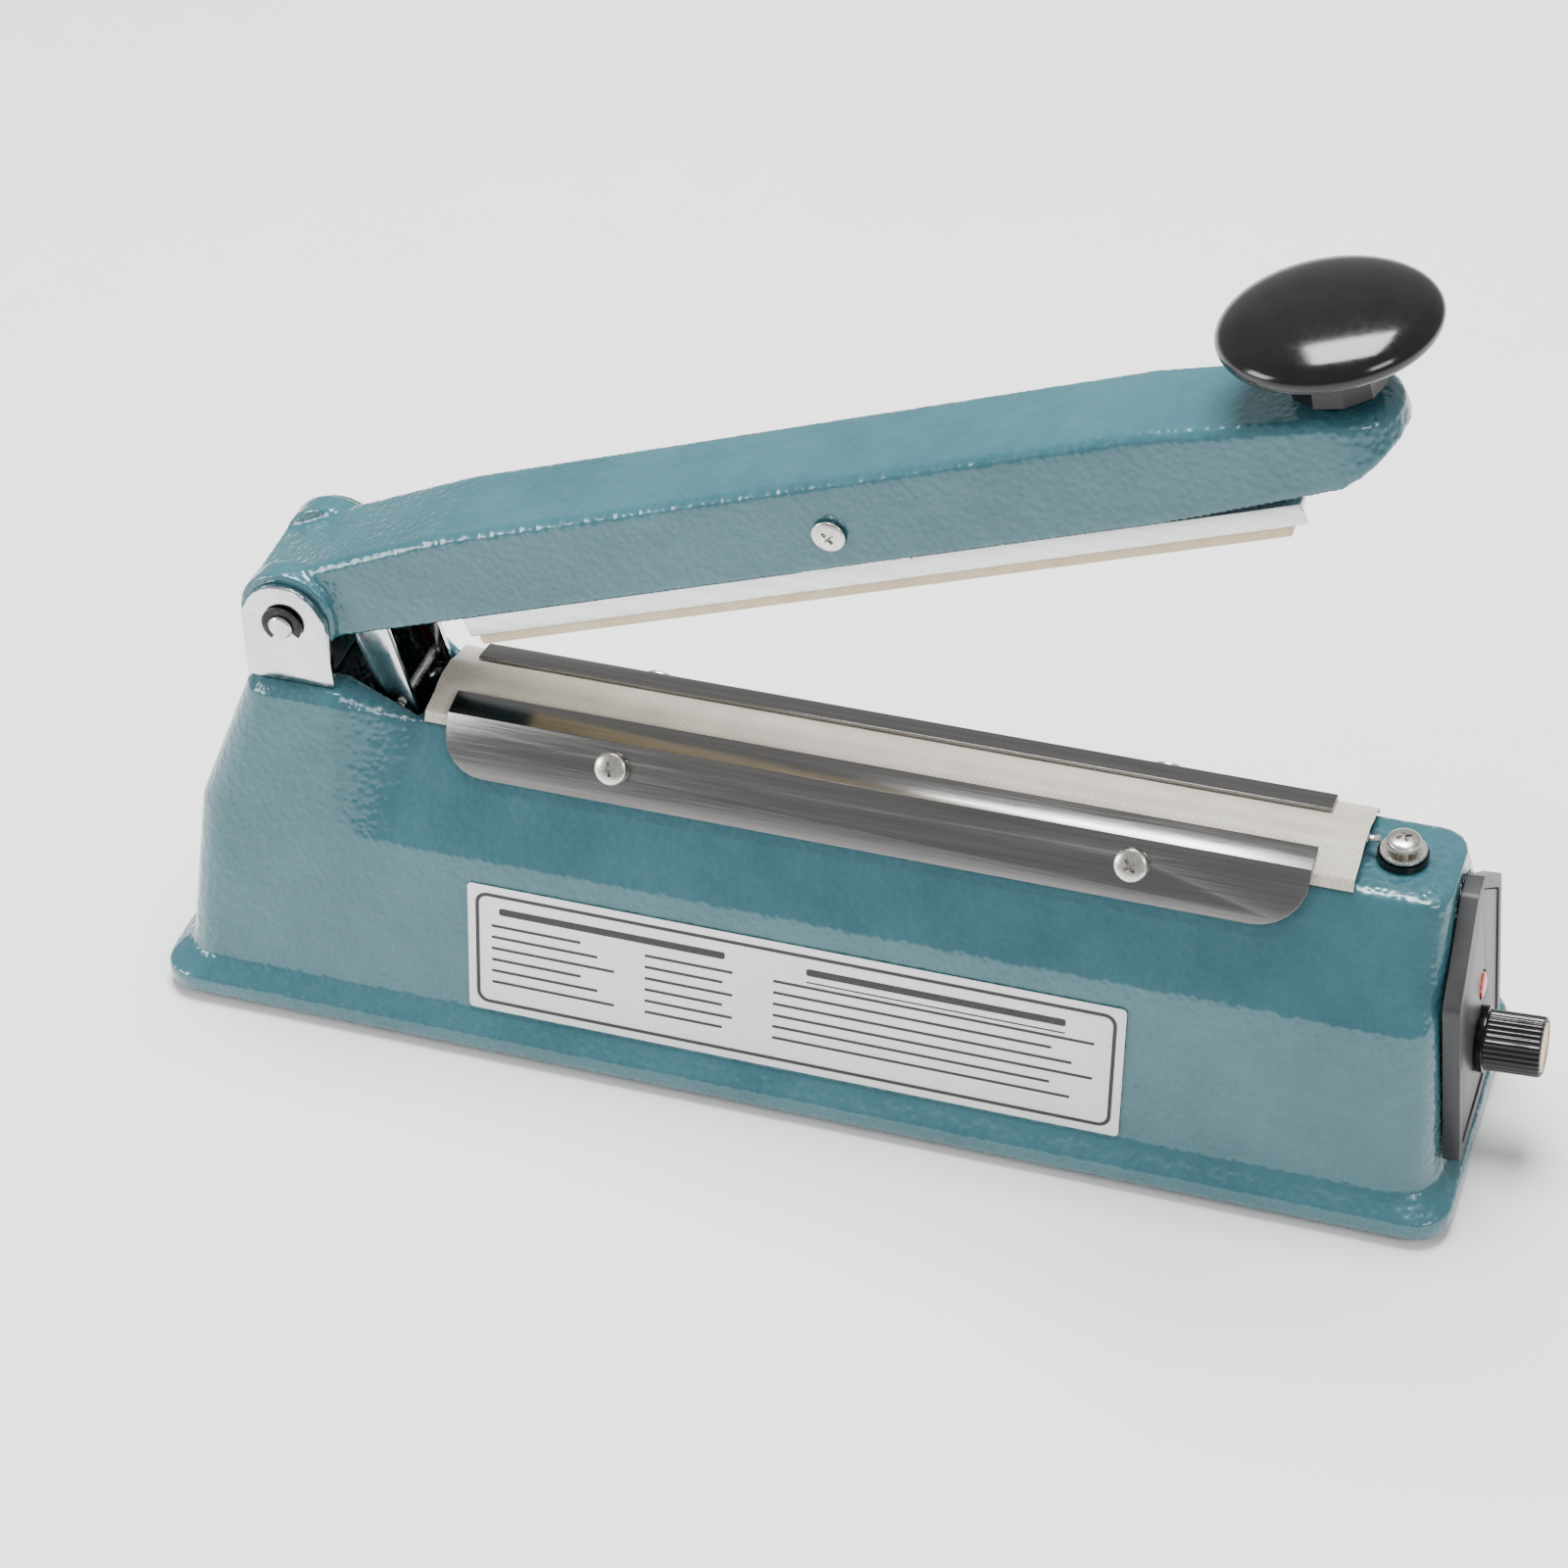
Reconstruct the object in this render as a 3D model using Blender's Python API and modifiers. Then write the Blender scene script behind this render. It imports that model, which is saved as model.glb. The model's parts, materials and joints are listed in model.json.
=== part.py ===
"""Hand impulse heat sealer for 200 mm bag seams, open with its arm raised.

Every length below is in millimetres and is scaled to metres as a piece is made. Local base
frame: X runs from the hinge to the timer knob, Y across the body, Z up from the casting's rim.
"""

import math

import bmesh
import bpy
from mathutils import Matrix, Vector

MM = 0.001
GAP = 0.3                       # free space between touching pieces

# --- whole object -------------------------------------------------------------------------
BASE_LENGTH = 320.0
BASE_WIDTH = 83.9
FOOT_STAND = 2.0                # rubber feet lift the rim by this much
KNOB_TIP_X = 172.8              # outermost point of the timer knob
FRAME_X = (BASE_LENGTH / 2 - KNOB_TIP_X) / 2
OPEN_ANGLE = 20.0               # arm's angle above horizontal at rest

# --- base casting -------------------------------------------------------------------------
WALL = 2.6
RIM_TOP = 5.0
FLARE_TOP = 8.5
CREASE_Z = 50.0
SHOULDER_Z = 76.5
RIDGE_Z = 77.2
PLATFORM_Z = 86.0
PLATFORM_END = -112.0
RIDGE_START = -95.0
CREASE_HALF = 29.0
SHOULDER_HALF = 14.0
SLOT = (-116.0, -95.0, 12.2)    # from x, to x, half width

# --- sealing ridge ------------------------------------------------------------------------
CLOTH_X = (-93.0, 129.0)
CLOTH_TOP = 81.8
CLOTH_THICK = 0.25
ELEMENT_X = (-93.4, 129.3)
COVER_X = (-87.0, 119.4)
COVER_LOW_Z = 68.0
COVER_THICK = 0.8
COVER_BAND = 14.4               # height of the cover's lower band, along its slope
COVER_LIP = 6.8                 # width of the lip bent over the ridge
COVER_LIP_BEND = 50.0
COVER_SCREW_X = (-45.3, 79.1)
COVER_SCREW_UP = 8.4            # screw height above the cover's lower edge, along the slope

# --- hinge and arm (arm frame: X along the arm, Z up, origin on the hinge pin) -------------
PIVOT = (-124.0, 0.0, 103.3)
PIN_R = 2.95
PIN_HOLE_R = 3.15
EAR_IN = 17.0
EAR_THICK = 2.0
EAR_HALF = 11.0
ARM_HALF = 14.3
ARM_LOW = -8.8
ARM_TOP = 13.1
ARM_WALL = 2.4
ARM_END = 272.0
ARM_BACK = -10.5
BOSS_R = 12.0
BOSS_OUT = 16.6
ROCKER = (142.1, 0.2)
TRIP_PIN = (13.5, -32.0)
KNOB_X = 259.6
KNOB_TILT = 8.9                 # knob leans this far towards the nose
KNOB_R = 23.7
KNOB_RIM = 15.5                 # widest circle above the arm
KNOB_DOME = 7.5

# --- pressure bar -------------------------------------------------------------------------
BAR_X = (39.1, 246.1)
BAR_HALF = 8.5
BAR_LOW = -17.4
BAR_TOP = -12.1
STRIP_HALF = 7.0
STRIP_LOW = -21.1

# --- timer panel --------------------------------------------------------------------------
PANEL_LEAN = 0.064              # end wall moves inwards by this per unit of height
PANEL_LOW_X = 154.85            # end wall at PANEL_LOW_Z
PANEL_LOW_Z = 11.0
PANEL_THICK = 4.0
DIAL_Z = 27.0
DIAL_KNOB_R = 7.1
PILOT = (4.0, 13.0)             # pilot lens from the dial's centre

TEAL = (0.13, 0.30, 0.35)


def clear_scene():
    for thing in list(bpy.data.objects):
        bpy.data.objects.remove(thing, do_unlink=True)


def new_collection(name):
    collection = bpy.data.collections.new(name)
    bpy.context.scene.collection.children.link(collection)
    return collection


clear_scene()
PARTS = new_collection("impulse_heat_sealer")
CUTTERS = new_collection("cutters")


def new_empty(name, location, parent=None, rotation=(0.0, 0.0, 0.0)):
    empty = bpy.data.objects.new(name, None)
    empty.location = Vector(location) * MM
    empty.rotation_euler = rotation
    empty.parent = parent
    PARTS.objects.link(empty)
    return empty


BASE = new_empty("base_frame", (FRAME_X, 0.0, FOOT_STAND))
ARM = new_empty("arm_frame", PIVOT, BASE, (0.0, -math.radians(OPEN_ANGLE), 0.0))
DIAL_LEAN = math.atan(PANEL_LEAN)
PANEL_X = PANEL_LOW_X - PANEL_LEAN * (DIAL_Z - PANEL_LOW_Z)
PANEL = new_empty("panel_frame", (PANEL_X, 0.0, DIAL_Z), BASE, (0.0, -DIAL_LEAN, 0.0))


def material(name, colour, roughness, metallic=0.0):
    made = bpy.data.materials.get(name)
    if made:
        return made
    made = bpy.data.materials.new(name)
    made.use_nodes = True
    shader = made.node_tree.nodes["Principled BSDF"]
    shader.inputs["Base Color"].default_value = (*colour, 1.0)
    shader.inputs["Roughness"].default_value = roughness
    shader.inputs["Metallic"].default_value = metallic
    return made


ENAMEL = material("teal_hammered_enamel", TEAL, 0.25)
STAINLESS = material("stainless_sheet", (0.55, 0.54, 0.54), 0.22, 1.0)
ZINC = material("zinc_plated_steel", (0.72, 0.72, 0.72), 0.3, 1.0)
CHROME = material("chrome_plate", (0.85, 0.85, 0.88), 0.1, 1.0)
ALUMINIUM = material("aluminium", (0.85, 0.86, 0.9), 0.3, 1.0)
BLACK_STEEL = material("black_steel", (0.03, 0.03, 0.03), 0.4, 0.6)
BLACK_PLASTIC = material("black_plastic", (0.012, 0.012, 0.014), 0.2)
PANEL_PLASTIC = material("panel_plastic", (0.03, 0.03, 0.035), 0.5)
PANEL_PRINT = material("panel_print", (0.09, 0.09, 0.10), 0.5)
CREAM = material("cream_plastic", (0.75, 0.62, 0.42), 0.4)
SILICONE = material("silicone", (0.80, 0.71, 0.52), 0.6)
CLOTH = material("ptfe_cloth", (0.50, 0.46, 0.42), 0.6)
NICHROME = material("nichrome", (0.35, 0.33, 0.31), 0.4, 1.0)
RUBBER = material("rubber", (0.02, 0.02, 0.02), 0.8)
PAPER = material("label_paper", (0.90, 0.90, 0.90), 0.5)
BRASS = material("brass", (0.72, 0.52, 0.25), 0.3, 1.0)
COPPER = material("copper_winding", (0.55, 0.25, 0.12), 0.4, 1.0)
CORE_IRON = material("core_laminations", (0.18, 0.18, 0.19), 0.5, 0.8)
BOARD = material("circuit_board", (0.05, 0.22, 0.10), 0.5)
RED_LENS = material("red_lens", (0.55, 0.02, 0.02), 0.1)


def add_object(name, mesh, surface, parent, matrix=None, smooth=True):
    thing = bpy.data.objects.new(name, mesh)
    PARTS.objects.link(thing)
    thing.parent = parent
    if matrix:
        thing.matrix_local = matrix
    thing.data.materials.clear()
    thing.data.materials.append(surface)
    if smooth:
        thing.data.shade_smooth()
        thing.data.set_sharp_from_angle(angle=math.radians(35))
    return thing


def mesh_from(name, bm):
    bmesh.ops.recalc_face_normals(bm, faces=bm.faces)
    mesh = bpy.data.meshes.new(name)
    bm.to_mesh(mesh)
    bm.free()
    return mesh


def at(x=0.0, y=0.0, z=0.0, turn=None):
    """Local placement in millimetres, with an optional rotation matrix."""
    move = Matrix.Translation(Vector((x, y, z)) * MM)
    return move @ turn.to_4x4() if turn else move


ALONG_X = Matrix.Rotation(math.pi / 2, 3, 'Y')
ALONG_BACK = Matrix.Rotation(-math.pi / 2, 3, 'X')
ALONG_FRONT = Matrix.Rotation(math.pi / 2, 3, 'X')


def block_mesh(name, low, high, bevel=0.0):
    bm = bmesh.new()
    bmesh.ops.create_cube(bm, size=1.0)
    low, high = Vector(low), Vector(high)
    for vert in bm.verts:
        vert.co = Vector([(l + h) / 2 + c * (h - l) for l, h, c in zip(low, high, vert.co)]) * MM
    if bevel:
        bmesh.ops.bevel(bm, geom=bm.edges[:], offset=bevel * MM, segments=2, profile=0.5,
                        affect='EDGES')
    return mesh_from(name, bm)


def block(name, low, high, surface, parent=BASE, bevel=0.0, matrix=None):
    return add_object(name, block_mesh(name, low, high, bevel), surface, parent, matrix)


def arc(centre, radius, start, end, steps):
    """Points on an arc, angles in degrees, both ends included."""
    angles = [math.radians(start + (end - start) * i / steps) for i in range(steps + 1)]
    return [(centre[0] + radius * math.cos(a), centre[1] + radius * math.sin(a)) for a in angles]


def circle(centre, radius, steps=24):
    return arc(centre, radius, 0.0, 360.0, steps)[:-1]


def rounded(points, radii, steps=5):
    """Round each corner of a closed outline with its own radius."""
    out = []
    count = len(points)
    for i, (point, radius) in enumerate(zip(points, radii)):
        here = Vector(point)
        before = (Vector(points[i - 1]) - here).normalized()
        after = (Vector(points[(i + 1) % count]) - here).normalized()
        if radius <= 0:
            out.append(tuple(here))
            continue
        half = before.angle(after) / 2
        reach = radius / math.tan(half)
        start = here + before * reach
        centre = here + (before + after).normalized() * radius / math.sin(half)
        first = start - centre
        sweep = math.pi - 2 * half
        sign = -1.0 if before.cross(after) > 0 else 1.0
        for k in range(steps + 1):
            turn = Matrix.Rotation(sign * sweep * k / steps, 2)
            out.append(tuple(centre + turn @ first))
    return out


def outline_mesh(name, outline, thickness, holes=()):
    """Closed slab between z = 0 and z = thickness from a flat outline with holes."""
    curve = bpy.data.curves.new(name, 'CURVE')
    curve.dimensions = '2D'
    curve.fill_mode = 'BOTH'
    curve.extrude = thickness / 2 * MM
    for loop in (outline, *holes):
        spline = curve.splines.new('POLY')
        spline.points.add(len(loop) - 1)
        for point, (x, y) in zip(spline.points, loop):
            point.co = (x * MM, y * MM, 0.0, 1.0)
        spline.use_cyclic_u = True
    return curve_to_mesh(name, curve, Matrix.Translation((0, 0, thickness / 2 * MM)))


def curve_to_mesh(name, curve, matrix=None):
    """Make a mesh of a curve, with its caps welded on."""
    holder = bpy.data.objects.new(name + "_curve", curve)
    CUTTERS.objects.link(holder)
    bpy.context.view_layer.update()
    evaluated = holder.evaluated_get(bpy.context.evaluated_depsgraph_get())
    mesh = bpy.data.meshes.new_from_object(evaluated)
    bpy.data.objects.remove(holder, do_unlink=True)
    bm = bmesh.new()
    bm.from_mesh(mesh)
    bmesh.ops.remove_doubles(bm, verts=bm.verts, dist=0.00001)
    if matrix:
        bm.transform(matrix)
    bpy.data.meshes.remove(mesh)
    return mesh_from(name, bm)


def slab(name, outline, thickness, surface, parent=BASE, matrix=None, holes=()):
    return add_object(name, outline_mesh(name, outline, thickness, holes), surface, parent, matrix)


def turned(name, profile, surface, parent=BASE, matrix=None, steps=24):
    """Turned piece about its Z: profile of (radius, height), top to bottom on the outside."""
    mesh = bpy.data.meshes.new(name)
    points = [(radius * MM, 0.0, height * MM) for radius, height in profile]
    edges = [(i, i + 1) for i in range(len(points) - 1)]
    if profile[0][0] > 0:
        edges.append((len(points) - 1, 0))
    mesh.from_pydata(points, edges, [])
    thing = add_object(name, mesh, surface, parent, matrix, smooth=False)
    screw = thing.modifiers.new("Screw", 'SCREW')
    screw.steps = steps
    screw.render_steps = steps
    screw.use_merge_vertices = True
    screw.merge_threshold = 0.000005
    screw.use_smooth_shade = True
    return thing


def wire(name, points, radius, surface, parent=BASE, rounding=2):
    curve = bpy.data.curves.new(name, 'CURVE')
    curve.dimensions = '3D'
    curve.bevel_depth = radius * MM
    curve.bevel_resolution = rounding
    curve.use_fill_caps = True
    spline = curve.splines.new('POLY')
    spline.points.add(len(points) - 1)
    for point, place in zip(spline.points, points):
        point.co = (*(Vector(place) * MM), 1.0)
    mesh = curve_to_mesh(name, curve)
    return add_object(name, mesh, surface, parent)


def boolean(thing, operand, operation='DIFFERENCE'):
    modifier = thing.modifiers.new(operand.name, 'BOOLEAN')
    modifier.operation = operation
    modifier.solver = 'EXACT'
    modifier.object = operand


def tool(name, mesh, parent=BASE, matrix=None):
    """A cutting or joining shape, kept out of the finished model."""
    thing = bpy.data.objects.new(name, mesh)
    CUTTERS.objects.link(thing)
    thing.parent = parent
    if matrix:
        thing.matrix_local = matrix
    thing.hide_render = True
    thing.display_type = 'WIRE'
    return thing


def rod_mesh(name, radius, low, high, steps=24):
    """Cylinder along Z from low to high."""
    bm = bmesh.new()
    bmesh.ops.create_cone(bm, cap_ends=True, segments=steps, radius1=radius * MM,
                          radius2=radius * MM, depth=(high - low) * MM,
                          matrix=Matrix.Translation((0, 0, (low + high) / 2 * MM)))
    return mesh_from(name, bm)


def drill(thing, name, radius, low, high, parent=BASE, matrix=None, steps=24):
    boolean(thing, tool(name, rod_mesh(name, radius, low, high, steps), parent, matrix))


def screw_profile(head_r, head_h, shank_r, length, crown=0.6):
    """Pan head above z = 0, shank below it."""
    return [(0, head_h), (head_r * 0.55, head_h - 0.05), (head_r * 0.9, head_h * crown),
            (head_r, head_h * 0.3), (head_r, 0), (shank_r, 0), (shank_r, -length + 0.6),
            (shank_r * 0.5, -length), (0, -length)]


# --- lofted castings ----------------------------------------------------------------------

def plan_loop(left, right, half, radius_left, radius_right, stations, steps):
    """Half outline in plan from (left, 0) round the front to (right, 0), as (x, y, along)."""
    start, end = half(left), half(right)
    points = [(left, 0.0), (left, -(start - radius_left) * 0.5)]
    points += arc((left + radius_left, -(start - radius_left)), radius_left, 180, 270, steps)
    points += [(x, -half(x)) for x in stations]
    points += arc((right - radius_right, -(end - radius_right)), radius_right, 270, 360, steps)
    points += [(right, -(end - radius_right) * 0.5), (right, 0.0)]
    return points


def loft(name, rows, surface=None, parent=BASE):
    """Closed solid from rows of matching points, mirrored about Y = 0."""
    bm = bmesh.new()
    grid = [[bm.verts.new(Vector(point) * MM) for point in row] for row in rows]
    for low, high in zip(grid, grid[1:]):
        for i in range(len(low) - 1):
            bm.faces.new((low[i], low[i + 1], high[i + 1], high[i]))
    bmesh.ops.remove_doubles(bm, verts=bm.verts, dist=0.000001)
    bmesh.ops.dissolve_degenerate(bm, edges=bm.edges, dist=0.000001)
    copy = bmesh.ops.duplicate(bm, geom=bm.verts[:] + bm.edges[:] + bm.faces[:])["geom"]
    mirrored = [item for item in copy if isinstance(item, bmesh.types.BMVert)]
    for vert in mirrored:
        vert.co.y = -vert.co.y
    bmesh.ops.remove_doubles(bm, verts=bm.verts, dist=0.000001)
    mesh = mesh_from(name, bm)
    if surface is None:
        return tool(name, mesh, parent)
    return add_object(name, mesh, surface, parent)


BODY_STATIONS = (PLATFORM_END, -107.75, -103.5, -99.25, RIDGE_START, 20.0, 140.0)


def hinge_share(x):
    """1 at the hinge platform, 0 along the ridge, straight between."""
    share = (RIDGE_START - x) / (RIDGE_START - PLATFORM_END)
    return min(1.0, max(0.0, share))


def body_rows(inset, floor_z, roof_drop):
    """Rows of the base casting's skin, moved inwards by inset."""
    def mix(low_value, high_value):
        return lambda x: low_value + (high_value - low_value) * hinge_share(x)

    def level(height, left, right, half, corner):
        corner = max(corner - inset, 1.0)
        loop = plan_loop(left + inset, right - inset, lambda x: half(x) - inset, corner, corner,
                         BODY_STATIONS, 4)
        return [(x, y, height(x)) for x, y in loop]

    half_length = BASE_LENGTH / 2
    rim = mix(BASE_WIDTH / 2, BASE_WIDTH / 2)
    rows = [level(mix(floor_z, floor_z), -half_length, half_length, rim, 9.0),
            level(mix(RIM_TOP, RIM_TOP), -half_length, half_length, rim, 9.0),
            level(mix(FLARE_TOP, FLARE_TOP), -155.0, 154.95, mix(36.6, 36.6), 9.0),
            level(mix(CREASE_Z, CREASE_Z), -150.0, 152.35, mix(CREASE_HALF, CREASE_HALF), 8.0),
            level(mix(SHOULDER_Z - roof_drop, PLATFORM_Z - 2.5 - roof_drop), -136.5, 150.5,
                  mix(SHOULDER_HALF, 22.5), 7.0),
            level(mix(RIDGE_Z - roof_drop, PLATFORM_Z - roof_drop), -134.0, 146.5,
                  mix(SHOULDER_HALF - 2.5, 20.5), 6.0)]
    floor = [(x, 0.0, z) for x, y, z in rows[0]]
    roof = [(x, 0.0, z) for x, y, z in rows[-1]]
    return [floor] + rows + [roof]


def foot_places():
    return {"front_left": (-143.0, -26.0), "front_right": (143.0, -26.0),
            "back_left": (-143.0, 26.0), "back_right": (143.0, 26.0)}


def slope_frame(side, x):
    """Frame on the upper slope: local X along the body, local Y up the slope, local Z outwards."""
    across = CREASE_HALF - SHOULDER_HALF
    lean = math.atan2(across, SHOULDER_Z - CREASE_Z)
    height = COVER_LOW_Z - 0.8
    half = CREASE_HALF - across * (height - CREASE_Z) / (SHOULDER_Z - CREASE_Z)
    if side < 0:
        turn = Matrix.Rotation(math.pi / 2 - lean, 3, 'X')
    else:
        turn = Matrix.Rotation(math.pi, 3, 'Z') @ Matrix.Rotation(math.pi / 2 - lean, 3, 'X')
    return at(x, side * half, height, turn)


def back_wall_frame(x, z):
    """Frame on the back wall's outer face with its local Z pointing outwards."""
    lean = math.atan2(36.6 - CREASE_HALF, CREASE_Z - FLARE_TOP)
    half = 36.6 - (36.6 - CREASE_HALF) * (z - FLARE_TOP) / (CREASE_Z - FLARE_TOP)
    turn = Matrix.Rotation(-math.pi / 2 + lean, 3, 'X')
    return at(x, half, z, turn)


def front_wall_frame(x, z):
    """Frame on the front wall: local X along the body, local Y up the wall, local Z outwards."""
    lean = math.atan2(36.6 - CREASE_HALF, CREASE_Z - FLARE_TOP)
    half = 36.6 - (36.6 - CREASE_HALF) * (z - FLARE_TOP) / (CREASE_Z - FLARE_TOP)
    turn = Matrix.Rotation(math.pi / 2 - lean, 3, 'X')
    return at(x, -half, z, turn)


GROMMET = (-122.0, 24.0)
PLUNGER_X = PIVOT[0] + TRIP_PIN[0]
PLUNGER_TOP = PIVOT[2] + TRIP_PIN[1] - 1.4 - 0.5
TERMINAL_X = 137.2
BRACKET_SCREW_Y = 9.0


def make_body_casting():
    body = loft("body_casting", body_rows(0.0, 0.0, 0.0), ENAMEL)
    boolean(body, loft("body_hollow", body_rows(WALL, -3.0, WALL)))
    for name, (x, y) in foot_places().items():
        post = tool("post_" + name, rod_mesh("post_" + name, 5.0, 2.4, 26.0, 16), BASE, at(x, y))
        boolean(body, post, 'UNION')
        drill(body, "post_hole_" + name, 1.7, -1.0, 16.0, BASE, at(x, y), 12)
    low, high, half = SLOT
    boolean(body, tool("slot_cut", block_mesh("slot_cut", (low, -half, 73), (high, half, 99))))
    for side in (-1, 1):
        for i, x in enumerate(COVER_SCREW_X):
            drill(body, f"cover_hole_{side}_{i}", 1.8, -6.0, 3.0, BASE,
                  slope_frame(side, x) @ at(0, COVER_SCREW_UP), 12)
        drill(body, f"bracket_hole_{side}", 1.8, 80.0, 99.0, BASE,
              at(PIVOT[0], side * BRACKET_SCREW_Y), 12)
    drill(body, "terminal_hole", 3.3, 70.0, 90.0, BASE, at(TERMINAL_X), 16)
    drill(body, "shaft_hole", 4.0, -8.0, 8.0, PANEL, at(turn=ALONG_X), 16)
    drill(body, "grommet_hole", 5.2, -8.0, 4.0, BASE, back_wall_frame(*GROMMET), 20)
    return body


def make_underside():
    holes = [circle(place, 2.2, 12) for place in foot_places().values()]
    corners = [(-150, -36), (150, -36), (150, 36), (-150, 36)]
    slab("bottom_plate", rounded(corners, [6] * 4, 4), 1.2, ZINC, BASE, at(z=0.8), holes)
    foot = [(4.4, 0.5), (6.0, 0.5), (6.5, -FOOT_STAND + 0.5), (6.2, -FOOT_STAND),
            (3.9, -FOOT_STAND), (3.9, -0.7), (2.0, -0.7), (2.0, 0.5)]
    for name, (x, y) in foot_places().items():
        turned("rubber_foot_" + name, foot, RUBBER, BASE, at(x, y), 20)
        turned("foot_screw_" + name, screw_profile(3.2, 0.9, 1.4, 13.0), ZINC, BASE,
               at(x, y, -1.0, Matrix.Rotation(math.pi, 3, 'X')), 12)


def make_hinge():
    base_low = PLATFORM_Z + GAP
    ear_low = base_low - PIVOT[2]
    reach = EAR_IN + EAR_THICK
    floor = block("hinge_bracket", (-11.0, -reach, ear_low), (9.6, reach, ear_low + EAR_THICK),
                  CHROME, BASE, 0.0, at(*PIVOT))
    ear = [(-EAR_HALF, ear_low + 0.2), (EAR_HALF, ear_low + 0.2), (EAR_HALF - 0.5, 1.5)]
    ear += arc((0, 0), 10.0, 20, 160, 10) + [(-EAR_HALF + 0.5, 1.5)]
    for side in (-1, 1):
        mesh = outline_mesh(f"ear_{side}", ear, EAR_THICK, [circle((0, 0), PIN_HOLE_R)])
        start = EAR_IN if side > 0 else -reach
        place = at(PIVOT[0], start + EAR_THICK, PIVOT[2], ALONG_FRONT)
        boolean(floor, tool(f"ear_{side}", mesh, BASE, place), 'UNION')
        drill(floor, f"bracket_screw_hole_{side}", 1.8, 80.0, 99.0, BASE,
              at(PIVOT[0], side * BRACKET_SCREW_Y), 12)
        turned("bracket_screw_" + ("front" if side < 0 else "back"),
               screw_profile(3.0, 0.9, 1.4, 9.0), ZINC, BASE,
               at(PIVOT[0], side * BRACKET_SCREW_Y, base_low + EAR_THICK + 0.1), 12)
    tip = reach + 2.2
    groove = (reach + 0.35, reach + 1.35)
    pin = [(0, tip), (PIN_R - 0.4, tip), (PIN_R, tip - 0.4), (PIN_R, groove[1]),
           (PIN_R - 0.7, groove[1]), (PIN_R - 0.7, groove[0]), (PIN_R, groove[0])]
    pin += [(radius, -height) for radius, height in reversed(pin)]
    turned("hinge_pin", pin, ZINC, BASE, at(*PIVOT, ALONG_BACK), 24)
    clip = arc((0, 0), 5.0, -35, 235, 18) + arc((0, 0), 2.45, 235, -35, 14)
    for side, label in ((-1, "front"), (1, "back")):
        y = side * (groove[0] + groove[1]) / 2 + 0.3
        slab("retaining_clip_" + label, clip, 0.6, BLACK_STEEL, BASE,
             at(PIVOT[0], y, PIVOT[2], ALONG_FRONT))


def make_cover(side, label):
    """Stainless cover: a sloping band with rounded lower corners and a lip bent inwards."""
    low, high = COVER_X
    centre = (low + high) / 2
    half = (high - low) / 2
    height = COVER_BAND + COVER_LIP
    corners = [(-half, 0), (half, 0), (half, height), (-half, height)]
    radii = [10.0, 12.0, 0.0, 0.0] if side < 0 else [12.0, 10.0, 0.0, 0.0]
    outline = rounded(corners, radii, 6)
    holes = [circle((-side * (x - centre), COVER_SCREW_UP), 2.0, 16) for x in COVER_SCREW_X]
    curve_mesh = outline_mesh("cover_" + label, outline, 0.0, holes)
    bm = bmesh.new()
    bm.from_mesh(curve_mesh)
    bmesh.ops.bisect_plane(bm, geom=bm.verts[:] + bm.edges[:] + bm.faces[:], dist=0.000001,
                           plane_co=(0, COVER_BAND * MM, 0), plane_no=(0, 1, 0))
    lip = [vert for vert in bm.verts if vert.co.y > (COVER_BAND + 0.01) * MM]
    bend = Matrix.Rotation(-math.radians(COVER_LIP_BEND), 3, 'X')
    bmesh.ops.rotate(bm, verts=lip, cent=(0, COVER_BAND * MM, 0), matrix=bend)
    lift = 0.9 + COVER_THICK / 2
    cover = add_object(label + "_cover_plate", mesh_from(label + "_cover_plate", bm), STAINLESS,
                       BASE, slope_frame(side, centre) @ at(z=lift))
    thick = cover.modifiers.new("Solidify", 'SOLIDIFY')
    thick.thickness = COVER_THICK * MM
    thick.offset = 0.0
    for x in COVER_SCREW_X:
        end = "left" if x < 0 else "right"
        turned(f"{label}_cover_screw_{end}", screw_profile(3.9, 2.0, 1.5, 7.0), ZINC, BASE,
               slope_frame(side, x) @ at(0, COVER_SCREW_UP, lift + COVER_THICK / 2 + 0.1), 16)


def cloth_profile():
    """Half of the cloth's upper surface as (distance from the middle, height)."""
    return [(0.0, CLOTH_TOP), (3.4, CLOTH_TOP), (7.0, 80.55), (12.4, 79.5), (13.2, 78.6),
            (14.1, 77.0)]


def make_seal_ridge():
    top = CLOTH_TOP - 0.9
    ridge = [(-7.0, RIDGE_Z + GAP), (7.0, RIDGE_Z + GAP), (6.6, top - 1.7), (3.4, top),
             (-3.4, top), (-6.6, top - 1.7)]
    place = at(CLOTH_X[0] + 1.0, 0, 0, Matrix.Rotation(math.pi / 2, 3, 'Z') @ ALONG_FRONT)
    slab("ridge_bar", ridge, CLOTH_X[1] - CLOTH_X[0] - 2.0, BLACK_PLASTIC, BASE, place)
    block("heating_element", (ELEMENT_X[0], -1.5, top + 0.3), (ELEMENT_X[1], 1.5, top + 0.52), NICHROME)
    half = cloth_profile()
    section = [(-y, z) for y, z in reversed(half)] + half[1:]
    bm = bmesh.new()
    ends = [[bm.verts.new(Vector((x, y, z)) * MM) for y, z in section] for x in CLOTH_X]
    for i in range(len(section) - 1):
        bm.faces.new((ends[0][i], ends[1][i], ends[1][i + 1], ends[0][i + 1]))
    cloth = add_object("ptfe_cloth", mesh_from("ptfe_cloth", bm), CLOTH, BASE)
    thick = cloth.modifiers.new("Solidify", 'SOLIDIFY')
    thick.thickness = CLOTH_THICK * MM
    thick.offset = 0.0
    make_cover(-1, "front")
    make_cover(1, "back")


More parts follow.
